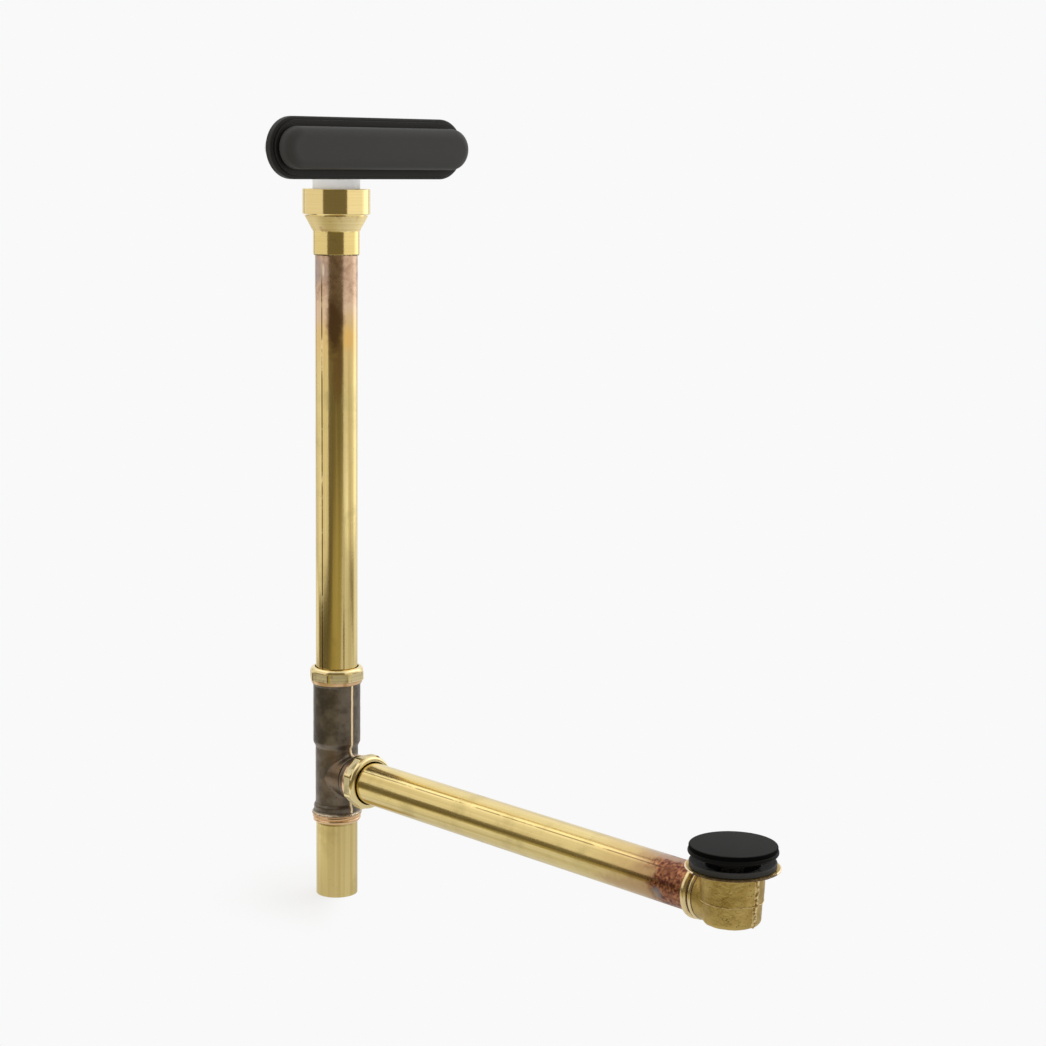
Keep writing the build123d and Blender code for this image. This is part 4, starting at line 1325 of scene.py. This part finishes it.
@dataclass
class OverflowEnd:
    """Cover, escutcheon, housing and the brass union under them."""

    bore_r: float = 21.5
    ring_r: float = 30.3
    ring_low: float = 626.4
    ring_high: float = 649.2
    collar_r: float = 20.8
    collar_low: float = 591.6
    cone_low: float = 611.9
    cone_high: float = 625.5
    cone_r: float = 28.3
    cup_r: float = 27.5
    cup_high: float = 641.0
    ring_roof: float = 3.7
    ring_chamfer: Flat = (1.3, 1.0)
    thread_gap: float = 0.2
    groove: float = 1.0
    groove_high: float = 628.6
    cone_round: float = 3.0
    cup_floor: float = 623.0
    braze_r: float = 19.3
    braze_z: float = 591.3
    socket_r: float = 19.25
    socket_depth: float = 20.0
    stop_r: float = 17.8

    def build(self) -> None:
        """Make the union and dress the rest."""
        self.ring_nut()
        self.adaptor()
        seam = FLASH.ring(self.braze_r, self.braze_z, Spindle.RUN, Finishes.braze, Width=0.0014, Wobble=0.0016,
                          Step=0.0005)
        put("adaptor_braze", seam, Body.WASTE, Slot.POLISHED, [Finishes.braze])
        dress(Finishes.trim, "overflow_cover")
        dress(Finishes.plate, "overflow_escutcheon")
        dress(Finishes.moulded, "overflow_housing")
        dress(Finishes.rubber, "overflow_gasket", "overflow_washer")
        dress(Finishes.steel, "overflow_screws")

    def ring_nut(self) -> None:
        """Turn the union nut."""
        inside = self.cup_r + self.thread_gap
        across, up = self.ring_chamfer
        outline = [
            Corner(inside, self.ring_low),
            Corner(self.ring_r - across, self.ring_low, 0.25),
            Corner(self.ring_r, self.ring_low + up, 0.5),
            Corner(self.ring_r, self.ring_high, 0.55),
            Corner(self.bore_r, self.ring_high, 0.4),
            Corner(self.bore_r, self.ring_high - self.ring_roof),
            Corner(inside, self.ring_high - self.ring_roof),
        ]
        mesh = LATHE.turn(outline, Spindle.RUN, Finishes.ring_nut)
        put("turned_ring_nut", mesh, Body.WASTE, Slot.POLISHED, [Finishes.ring_nut], "overflow_ring_nut")

    def adaptor(self) -> None:
        """Turn the flared socket."""
        thread = self.cup_r - self.thread_gap
        outline = [
            Corner(self.socket_r, self.collar_low),
            Corner(self.collar_r, self.collar_low, 0.35),
            Corner(self.collar_r, self.cone_low, self.cone_round),
            Corner(self.cone_r, self.cone_high, 0.3),
            Corner(self.cup_r - self.groove, self.cone_high + 0.1),
            Corner(self.cup_r - self.groove, self.groove_high),
            Corner(thread, self.groove_high + 0.4),
            Corner(thread, self.cup_high, 0.3),
            Corner(self.bore_r, self.cup_high, 0.3),
            Corner(self.bore_r, self.cup_floor, 1.0),
            Corner(self.stop_r, self.cone_low),
            Corner(self.stop_r, self.collar_low + self.socket_depth),
            Corner(self.socket_r, self.collar_low + self.socket_depth),
        ]
        mesh = LATHE.turn(outline, Spindle.RUN, Finishes.adaptor)
        for face in mesh.polygons:
            face.material_index = int(self.cone_low * MM < face.center.z < self.cone_high * MM)
        put("turned_adaptor", mesh, Body.WASTE, Slot.POLISHED, [Finishes.adaptor, Finishes.cone], "overflow_adaptor")


@dataclass
class Pipes:
    """The three drawn tubes."""

    r: float = 19.05
    bore_r: float = 17.85
    end_round: float = 0.35
    overflow_ends: Flat = (165.0, 609.3)
    waste_ends: Flat = (27.0, 462.0)
    swage_low: float = 68.0
    swage_high: float = 70.0
    swage_depth: float = 0.25
    swage_round: float = 0.3
    tail_high: float = 82.0

    def build(self) -> None:
        """Draw each tube."""
        self.tube("drawn_overflow_tube", Spindle.RUN, *self.overflow_ends, Finishes.overflow_tube,
                  "overflow_tube_lower", "overflow_tube_upper")
        self.tube("drawn_waste_tube", Spindle.BRANCH, *self.waste_ends, Finishes.waste_tube, "waste_tube")
        self.tailpiece()

    def tube(self, name: str, spindle: Spindle, low: float, high: float, finish: Finish, *nodes: str) -> None:
        """Draw one plain tube.

        Args:
            name: Name of the piece.
            spindle: Axis of the tube.
            low: Where it starts along the axis.
            high: Where it ends.
            finish: Its finish.
            nodes: CAD nodes that it stands for.
        """
        outline = [
            Corner(self.bore_r, low, self.end_round), Corner(self.r, low, self.end_round),
            Corner(self.r, high, self.end_round), Corner(self.bore_r, high, self.end_round),
        ]
        put(name, LATHE.turn(outline, spindle, finish), Body.WASTE, Slot.TUBE, [finish], *nodes)

    def tailpiece(self) -> None:
        """Draw the outlet tube with its swaged top."""
        swaged = self.r - self.swage_depth
        outline = [
            Corner(self.bore_r, 0.0, self.end_round), Corner(self.r, 0.0, self.end_round),
            Corner(self.r, self.swage_low, self.swage_round), Corner(swaged, self.swage_high, self.swage_round),
            Corner(swaged, self.tail_high), Corner(self.bore_r, self.tail_high),
        ]
        mesh = LATHE.turn(outline, Spindle.RUN, Finishes.tailpiece)
        put("drawn_tailpiece", mesh, Body.WASTE, Slot.TUBE, [Finishes.tailpiece], "tailpiece")


@dataclass
class SlipNut:
    """Slip nut with milled flats and a domed bead, turned on the axis at its socket's end."""

    node: str
    spindle: Spindle
    tightened: float
    finish: Finish
    skirt: Finish
    milled: Finish
    inside: float = 22.5
    mouth: float = 20.1
    low: float = -11.6
    foot: float = -8.1
    roof: float = 1.6
    high: float = 3.4
    skirt_r: float = 23.7
    skirt_taper: float = 0.6
    skirt_end: float = -8.5
    corner_r: float = 25.4
    across_flats: float = 47.4
    flats: int = 8
    flats_end: float = -0.3
    flat_high: float = -0.6
    flat_reach: float = 19.5
    bead: tuple[Flat, Flat] = ((24.2, -0.1), (23.15, 2.35))
    bead_end: float = 20.6
    bead_steps: int = 16

    def build(self) -> None:
        """Turn the nut, mill its flats and turn it on its thread."""
        outline = [
            Corner(self.inside, self.low, 0.2), Corner(self.skirt_r - self.skirt_taper, self.low, 0.25),
            Corner(self.skirt_r, self.skirt_end, 0.3), Corner(self.skirt_r, self.foot),
            Corner(self.corner_r, self.foot + 0.1, 0.2, Cut.FLATS),
            Corner(self.corner_r, self.flats_end, 0.2, Cut.FLATS),
            *arc_through(*self.bead, (self.bead_end, self.high), self.bead_steps),
            Corner(self.mouth, self.high, 0.3), Corner(self.mouth, self.roof), Corner(self.inside, self.roof),
        ]
        mesh = LATHE.turn(outline, self.spindle, self.finish, Flats=self.flats, Across_Flats=self.across_flats * MM)
        seat = self.spindle.matrix()
        for face in mesh.polygons:
            face.material_index = self.worked(seat.inverted() @ face.center / MM).value
        mesh.transform(seat @ Matrix.Rotation(math.radians(self.tightened), 4, "Z") @ seat.inverted())
        put("milled_" + self.node, mesh, Body.WASTE, Slot.POLISHED, [self.finish, self.skirt, self.milled], self.node)

    def worked(self, spot: Vector) -> NutPart:
        """Return which part of the nut a spot is on.

        Args:
            spot: Spot on the lathe in millimetres.

        Returns:
            The part that the spot is on.
        """
        if spot.z < self.foot:
            return NutPart.SKIRT
        half = 180.0 / self.flats
        off_flat = (math.degrees(math.atan2(spot.y, spot.x)) + half) % (2 * half) - half
        on_flat = spot.z < self.flat_high and abs(off_flat) < self.flat_reach
        return NutPart.FLAT if on_flat else NutPart.BEAD


@dataclass
class TeeJoint:
    """Dark cast tee with its ground parting line, machined outlet thread and two slip nuts."""

    branch_z: float = 115.0
    socket_r: float = 21.6
    run_r: float = 19.6
    branch_r: float = 18.9
    ridge: float = 0.35
    step_low: float = 26.0
    step_high: float = 30.2
    run_thread: float = 85.9
    branch_thread: float = 34.2
    outlet_low: float = 70.0
    outlet_high: float = 77.8
    outlet_r: float = 21.4
    heel: float = 27.5
    heel_steps: Flat = (2.5, 6.9)
    sunk_from: float = 20.2
    sunk_low: float = 70.3
    sunk_high: float = 78.0
    core_r: float = 20.3
    flare_r: float = 30.0
    edge_z: float = 78.6
    edge_width: float = 1.4
    edge_wear: float = 0.85
    over_bend: tuple[Flat, ...] = ((0.0, 5.0), (0.7, 2.4), (2.4, 0.7))
    under_bend: tuple[Flat, ...] = ((2.6, 0.0), (0.6, 2.4), (0.0, 4.0))
    thread_rows: int = 56
    thread_bore: float = 19.1
    thread_nose: float = 20.5
    thread_r: float = 20.9
    thread_taper: float = 0.9
    thread_ends: Flat = (0.7, 0.9)
    thread_flange: Flat = (22.9, 23.1)
    thread_pitch: float = 3.4
    thread_depth: float = 1.1
    unevenness: tuple[Flat, ...] = ((0.13, 110.0), (0.05, 420.0))
    voxel: float = 0.00075

    def build(self) -> None:
        """Make the casting and what is machined on it."""
        put("cast_tee", cast("tee", self.voxel, self.skin), Body.WASTE, Slot.DARK, [Finishes.tee], "tee")
        self.parting_line()
        self.outlet_thread()
        SlipNut("upper_slip_nut", Spindle.UPPER_SEAT, 11.0, Finishes.nut_upper, Finishes.machined_upper,
                Finishes.flats_upper).build()
        SlipNut("branch_slip_nut", Spindle.BRANCH_SEAT, 0.0, Finishes.nut_branch, Finishes.machined_branch,
                Finishes.flats_branch).build()
        dress(Finishes.rubber, "upper_slip_washer", "branch_slip_washer")

    def skin(self, point: Vector, normal: Vector) -> tuple[Vector, float]:
        """Return a point of the uneven skin and its wear; the outlet's skin sinks under the machined thread.

        Args:
            point: Point of the casting.
            normal: Its normal.

        Returns:
            The point's new place and how worn it is.
        """
        place = point + normal * lumps(point, *self.unevenness) * MM
        across = math.hypot(place.x, place.y) / MM
        if place.z / MM < self.sunk_high and self.sunk_from < across < self.flare_r:
            place.x *= self.core_r / across
            place.y *= self.core_r / across
            place.z = max(place.z, self.sunk_low * MM)
        edge = max(0.0, 1.0 - abs(place.z / MM - self.edge_z) / self.edge_width)
        return place, self.edge_wear * edge

    def parting_line(self) -> None:
        """Lay the ground parting line over the casting, in the plane of the two tubes."""
        z, socket = self.branch_z, self.socket_r + self.ridge
        run, branch = self.run_r + self.ridge, self.branch_r + self.ridge
        low, high, heel = self.step_low, self.step_high, z - self.heel
        head = [(socket, z + self.run_thread), (socket, z + high), (run, z + low)]
        foot = [(run, heel), *((self.outlet_r, heel - down) for down in self.heel_steps)]
        front_head, front_foot = ([(-y, height) for y, height in path] for path in (head, foot))
        over_bend = [(-run - out, z + branch + up) for out, up in self.over_bend]
        under_bend = [(-run - out, z - branch - down) for out, down in self.under_bend]
        over = [*front_head, *over_bend, (-low, z + branch), (-high, z + socket), (-self.branch_thread, z + socket)]
        under = [(-self.branch_thread, z - socket), (-high, z - socket), (-low, z - branch), *under_bend, *front_foot]
        mesh = FLASH.follow([over, under, head + foot], Finishes.ground, Width=0.0021, Wobble=0.0005, Step=0.0008)
        put("tee_parting_line", mesh, Body.WASTE, Slot.DARK, [Finishes.ground])

    def outlet_thread(self) -> None:
        """Turn the outlet's thread."""
        low, high = self.outlet_low, self.outlet_high
        first, last = low + self.thread_ends[0], high - self.thread_ends[1]
        shares = [row / self.thread_rows for row in range(self.thread_rows + 1)]
        crests = [Corner(self.thread_r + self.thread_taper * share, first + (last - first) * share, cut=Cut.THREAD)
                  for share in shares]
        inner, outer = self.thread_flange
        outline = [Corner(self.thread_bore, low, 0.15), Corner(self.thread_nose, low, 0.2), *crests,
                   Corner(inner, high - 0.6, 0.1), Corner(outer, high, 0.1), Corner(self.thread_bore, high)]
        finish = Finishes.machined_upper
        mesh = LATHE.turn(outline, Spindle.RUN, finish, Pitch=self.thread_pitch * MM, Depth=self.thread_depth * MM)
        put("outlet_thread", mesh, Body.WASTE, Slot.DARK, [finish])


@dataclass
class DrainShoe:
    """Rough cast shoe with its flash, and the black drain and push stopper on it."""

    centre_y: float = -485.0
    voxel: float = 0.00055
    unevenness: tuple[Flat, ...] = ((0.22, 150.0), (0.14, 480.0))
    step_r: float = 24.6
    step_z: float = 116.1
    braze_r: float = 19.2
    braze_at: float = 449.9
    travel: float = 5.0
    rim_r: float = 36.4
    rim_low: float = 139.0
    # Way towards the camera: the rim's side that faces it is painted dark, a painted reflection.
    painted_shade_way: Flat = (-0.69, -0.72)
    painted_shade_share: float = 0.5
    collar_from: float = 22.9
    first_groove: float = 24.0
    second_groove: Flat = (27.5, 29.1)
    flash_path: tuple[Flat, ...] = ((20.5, 98.4), (23.1, 101.8), (24.0, 115.6), (25.1, 116.4), (26.1, 140.4))
    ridge_half: float = 2.6
    ridge_from: float = 20.0
    ridge_lumps: float = 3.0
    ridge_wear: float = 0.6
    worked_lumps: float = 0.1
    cap_top: float = 0.75

    def build(self) -> None:
        """Cast the shoe and dress the drain and stopper."""
        mesh = cast("shoe", self.voxel, self.skin)
        for face in mesh.polygons:
            face.material_index = self.worked(face.center).value
        finishes = [Finishes.shoe, Finishes.rim, Finishes.collar, Finishes.groove]
        put("cast_shoe", mesh, Body.WASTE, Slot.CAST, finishes, "shoe")
        self.flash()
        dress(Finishes.trim, "drain_flange")
        self.cap()
        dress(Finishes.rubber, "shoe_washer", "stopper_seal")
        dress(Finishes.plastic, "stopper_retainer", "stopper_latch_cam")
        dress(Finishes.steel, "stopper_sleeve", "stopper_post")
        self.spring()

    def cap(self) -> None:
        """Paint the stopper's cap, with painted shade round its side that makes it blacker than the top."""
        mesh = smooth(merged_copy("stopper_cap"))
        for face in mesh.polygons:
            # Faces that turn away from the top take the painted shade.
            face.material_index = int(face.normal.z < self.cap_top)
        finishes = [Finishes.stopper, Finishes.stopper_painted_shade]
        put("painted_stopper_cap", mesh, Body.STOPPER, Slot.TRIM, finishes, "stopper_cap")

    def spring(self) -> None:
        """Put a smooth copy of the spring, with a mesh of its own."""
        mesh = smooth(merged_copy("stopper_spring"))
        spring = put("wound_spring", mesh, Body.WASTE, Slot.STEEL, [Finishes.steel], "stopper_spring")
        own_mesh(spring)

    def skin(self, point: Vector, normal: Vector) -> tuple[Vector, float]:
        """Return a point of the rough skin, smooth where it is worked, and its wear on the ridge.

        Args:
            point: Point of the casting.
            normal: Its normal.

        Returns:
            The point's new place and how worn it is.
        """
        lump, worn = lumps(point, *self.unevenness), 0.0
        if abs(point.x) / MM < self.ridge_half and point.y / MM < self.centre_y - self.ridge_from:
            lump, worn = self.ridge_lumps * lump, self.ridge_wear
        if self.worked(point) is not ShoePart.ROUGH:
            lump, worn = self.worked_lumps * lump, 0.0
        return point + normal * lump * MM, worn

    def worked(self, point: Vector) -> ShoePart:
        """Return which part of the shoe a point is on; the rim's side towards the camera takes a painted dark
        reflection, and the collar's grooves are dark.

        Args:
            point: Point of the casting.

        Returns:
            The part that the point is on.
        """
        x, y = point.x / MM, point.y / MM - self.centre_y
        across, on_flange = math.hypot(x, y), point.z / MM > self.rim_low
        if on_flange and across > self.rim_r:
            # The rim's side that faces the camera takes the painted dark reflection.
            facing = self.painted_shade_way[0] * x + self.painted_shade_way[1] * y
            return ShoePart.DARK if facing > self.painted_shade_share * across else ShoePart.RIM
        if on_flange or y < self.collar_from:
            return ShoePart.ROUGH
        low, high = self.second_groove
        return ShoePart.DARK if y < self.first_groove or low < y < high else ShoePart.COLLAR

    def flash(self) -> None:
        """Lay the uneven flash up the front of the shoe, the line round its step and the braze at its collar."""
        path = [(self.centre_y - out, height) for out, height in self.flash_path]
        mesh = FLASH.follow([path], Finishes.flash, Width=0.0026, Wobble=0.0042, Step=0.0005)
        put("shoe_flash", mesh, Body.WASTE, Slot.CAST, [Finishes.flash])
        step = FLASH.ring(self.step_r, self.step_z, Spindle.DRAIN, Finishes.flash, Width=0.0007, Wobble=0.0016,
                          Step=0.0005)
        put("shoe_step_line", step, Body.WASTE, Slot.CAST, [Finishes.flash])
        seam = FLASH.ring(self.braze_r, self.braze_at, Spindle.BRANCH, Finishes.braze, Width=0.0012, Wobble=0.0012,
                          Step=0.0005)
        put("shoe_braze", seam, Body.WASTE, Slot.CAST, [Finishes.braze])


@dataclass(frozen=True)
class Softbox:
    """Large soft lamp beside the object."""

    name: str
    aside: float
    near: float
    far: float
    low: float
    high: float
    glow: float
    mirrored: bool = True

    def place(self, across: Vector, along: Vector) -> None:
        """Hang the lamp.

        Args:
            across: Level direction that it stands aside in.
            along: Level direction that it runs in.
        """
        wide, tall = self.near - self.far, self.high - self.low
        lamp = bpy.data.lights.new(self.name, "AREA")
        lamp.shape = "RECTANGLE"
        lamp.size, lamp.size_y = wide, tall
        lamp.energy = self.glow * math.pi * wide * tall
        holder = show(self.name, lamp)
        middle = across * self.aside + along * (self.near + self.far) / 2
        back = across * math.copysign(1.0, self.aside)
        up = Vector((0.0, 0.0, 1.0))
        turn = Matrix((up.cross(back), up, back)).transposed().to_4x4()
        holder.matrix_world = Matrix.Translation(middle + up * (self.low + self.high) / 2) @ turn
        holder.visible_camera = False
        holder.visible_glossy = self.mirrored
        log.info("%s: lamp %.2f x %.2f m", self.name, wide, tall)


@dataclass
class Studio:
    """Camera, pale floor, lamps and surroundings."""

    eye: Spot = (-1.27832, -1.58822, 0.68261)
    look: Spot = (0.68054, 0.71474, -0.16129)
    right: Spot = (0.72555, -0.68806, 0.01234)
    lens: float = 77.949
    sensor: float = 36.0
    paper: float = 0.947
    front: Colour = (0.19, 0.162, 0.1)
    rear: Colour = (0.95, 0.95, 0.93)
    above: Colour = (1.1, 1.1, 1.08)
    table_edge: float = -0.28
    table_glow: Colour = (0.74, 0.74, 0.71)
    table_left: Colour = (1.05, 1.05, 1.0)
    room_floor: Colour = (0.43, 0.37, 0.17)
    room_left: Colour = (0.12, 0.1, 0.055)
    shadow_share: float = 0.3
    shadow_reach: Flat = (0.13, 0.03)
    shadow_side: Flat = (0.015, -0.02)
    table_fade: Flat = (-0.02, -0.25)
    room_fade: Flat = (-0.35, -0.7)
    room_end: Flat = (-1.5, -2.0)
    edge_fade: float = 0.02
    floor_near: Flat = (-2.2, -2.4)
    floor_far: Flat = (1.0, 0.5)
    floor_z: float = -0.0002
    floor_tone: Colour = (0.8, 0.8, 0.8)
    dark_aside: float = 0.21
    dark_fade: Flat = (-0.75, -0.35)
    skyline_fade: Flat = (-0.6, 0.1)
    skyline_rise: float = 0.45
    sky_fade: Flat = (0.15, 0.6)
    side_lamps: tuple[Softbox, ...] = (
        Softbox("left_softbox", aside=-0.43, near=0.51, far=-0.335, low=0.2, high=1.2, glow=0.72),
        Softbox("left_low_softbox", aside=-0.43, near=-0.14, far=-0.42, low=0.1, high=0.2, glow=0.7),
        Softbox("right_softbox", aside=0.7, near=0.8, far=-0.7, low=0.2, high=1.3, glow=0.62),
        Softbox("right_high_softbox", aside=0.69, near=0.8, far=-0.7, low=0.52, high=1.3, glow=0.26),
    )
    front_lamp: Softbox = Softbox("front_fill", aside=1.3, near=0.7, far=-0.7, low=0.1, high=1.3, glow=1.9,
                                  mirrored=False)

    def build(self) -> None:
        """Set up the whole studio."""
        bpy.context.scene.view_settings.view_transform = "Standard"
        self.camera()
        right = Vector((self.right[0], self.right[1], 0.0)).normalized()
        ahead = Vector((-self.look[0], -self.look[1], 0.0)).normalized()
        for lamp in self.side_lamps:
            lamp.place(right, ahead)
        self.front_lamp.place(ahead, right)
        self.surroundings(ahead - right * self.dark_aside)
        self.floor(right)

    def camera(self) -> None:
        """Place the camera at the photograph's view."""
        data = bpy.data.cameras.new("view")
        data.lens = self.lens
        data.sensor_width = self.sensor
        camera = show("view", data)
        look, right = Vector(self.look).normalized(), Vector(self.right).normalized()
        up = right.cross(look).normalized()
        right = look.cross(up)
        camera.matrix_world = Matrix.Translation(self.eye) @ Matrix((right, up, -look)).transposed().to_4x4()
        bpy.context.scene.camera = camera

    def surroundings(self, ahead: Vector) -> None:
        """Light the world: pale to the camera, dark in front of the object and pale behind and above it.

        Args:
            ahead: Level direction from the object to the middle of the dark side, left of the camera.
        """
        world = bpy.data.worlds.new("studio")
        bpy.context.scene.world = world
        world.use_nodes = True
        world.node_tree.nodes.clear()
        wiring = Wiring(world.node_tree)
        way = wiring.add("ShaderNodeTexCoord").outputs["Generated"]
        facing = wiring.vector("DOT_PRODUCT", way, tuple(ahead.normalized()))
        room = wiring.mix(wiring.span(facing, *self.dark_fade), self.rear, self.front)
        skyline = wiring.span(facing, *self.skyline_fade, 0.0, self.skyline_rise)
        rise = wiring.math("SUBTRACT", wiring.parts(way)[Z], skyline)
        room = wiring.mix(wiring.span(rise, *self.sky_fade), room, self.above)
        shade = wiring.out("ShaderNodeBackground", {"Color": room, "Strength": 1.0})
        paper = wiring.out("ShaderNodeBackground", {"Color": (self.paper,) * 3, "Strength": 1.0})
        seen = wiring.add("ShaderNodeLightPath").outputs["Is Camera Ray"]
        mixed = wiring.blend(seen, shade, paper)
        wiring.add("ShaderNodeOutputWorld", {"Surface": mixed})

    def floor(self, right: Vector) -> None:
        """Lay the table and the floor of the room beyond its left edge, both unseen but for mirrors and the shadow.

        Args:
            right: Level direction to the camera's right.
        """
        mesh = bpy.data.meshes.new("floor")
        (west, south), (east, north) = self.floor_near, self.floor_far
        corners = [(west, south), (east, south), (east, north), (west, north)]
        mesh.from_pydata([(*corner, self.floor_z) for corner in corners], [], [(0, 1, 2, 3)])
        floor = show("floor", mesh)
        mesh.materials.append(self.floor_paper(right))

    def floor_paper(self, right: Vector) -> bpy.types.Material:
        """Return the floor's material.

        Args:
            right: Level direction to the camera's right.

        Returns:
            The material.
        """
        paper = bpy.data.materials.new("floor_paper")
        paper.use_nodes = True
        paper.node_tree.nodes.clear()
        wiring = Wiring(paper.node_tree)
        place = wiring.add("ShaderNodeTexCoord").outputs["Object"]
        across = wiring.vector("LENGTH", wiring.vector("MULTIPLY", place, (1.0, 1.0, 0.0)))
        aside = wiring.vector("DOT_PRODUCT", place, tuple(right))
        east = wiring.parts(place)[X]
        path = wiring.add("ShaderNodeLightPath").outputs
        lit = wiring.out("ShaderNodeBsdfDiffuse", {"Color": self.floor_tone})
        clear = wiring.out("ShaderNodeBsdfTransparent")
        glow = wiring.out("ShaderNodeEmission", {"Color": (self.paper,) * 3, "Strength": 1.0})
        near = wiring.math("MULTIPLY", wiring.span(across, *self.shadow_reach), wiring.span(aside, *self.shadow_side))
        share = wiring.math("MULTIPLY", near, self.shadow_share)
        seen = wiring.blend(share, glow, lit)
        table = wiring.mix(wiring.span(aside, *self.table_fade), self.table_glow, self.table_left)
        room = wiring.mix(wiring.span(aside, *self.room_fade), self.room_floor, self.room_left)
        room = wiring.mix(wiring.span(east, *self.room_end), room, self.front)
        on_table = wiring.span(east, self.table_edge - self.edge_fade, self.table_edge + self.edge_fade)
        shown = wiring.mix(on_table, room, table)
        mirrored = wiring.out("ShaderNodeEmission", {"Color": shown, "Strength": 1.0})
        spread = wiring.blend(on_table, clear, lit)
        other = wiring.blend(path["Is Glossy Ray"], spread, mirrored)
        surface = wiring.blend(path["Is Camera Ray"], other, seen)
        wiring.add("ShaderNodeOutputMaterial", {"Surface": surface})
        return paper


def main() -> None:
    """Build the fitting's looks and the studio around it."""
    logging.basicConfig(level=logging.INFO, format="%(message)s")
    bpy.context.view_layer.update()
    Studio().build()
    OverflowEnd().build()
    Pipes().build()
    TeeJoint().build()
    DrainShoe().build()


if __name__ == "__main__":
    main()
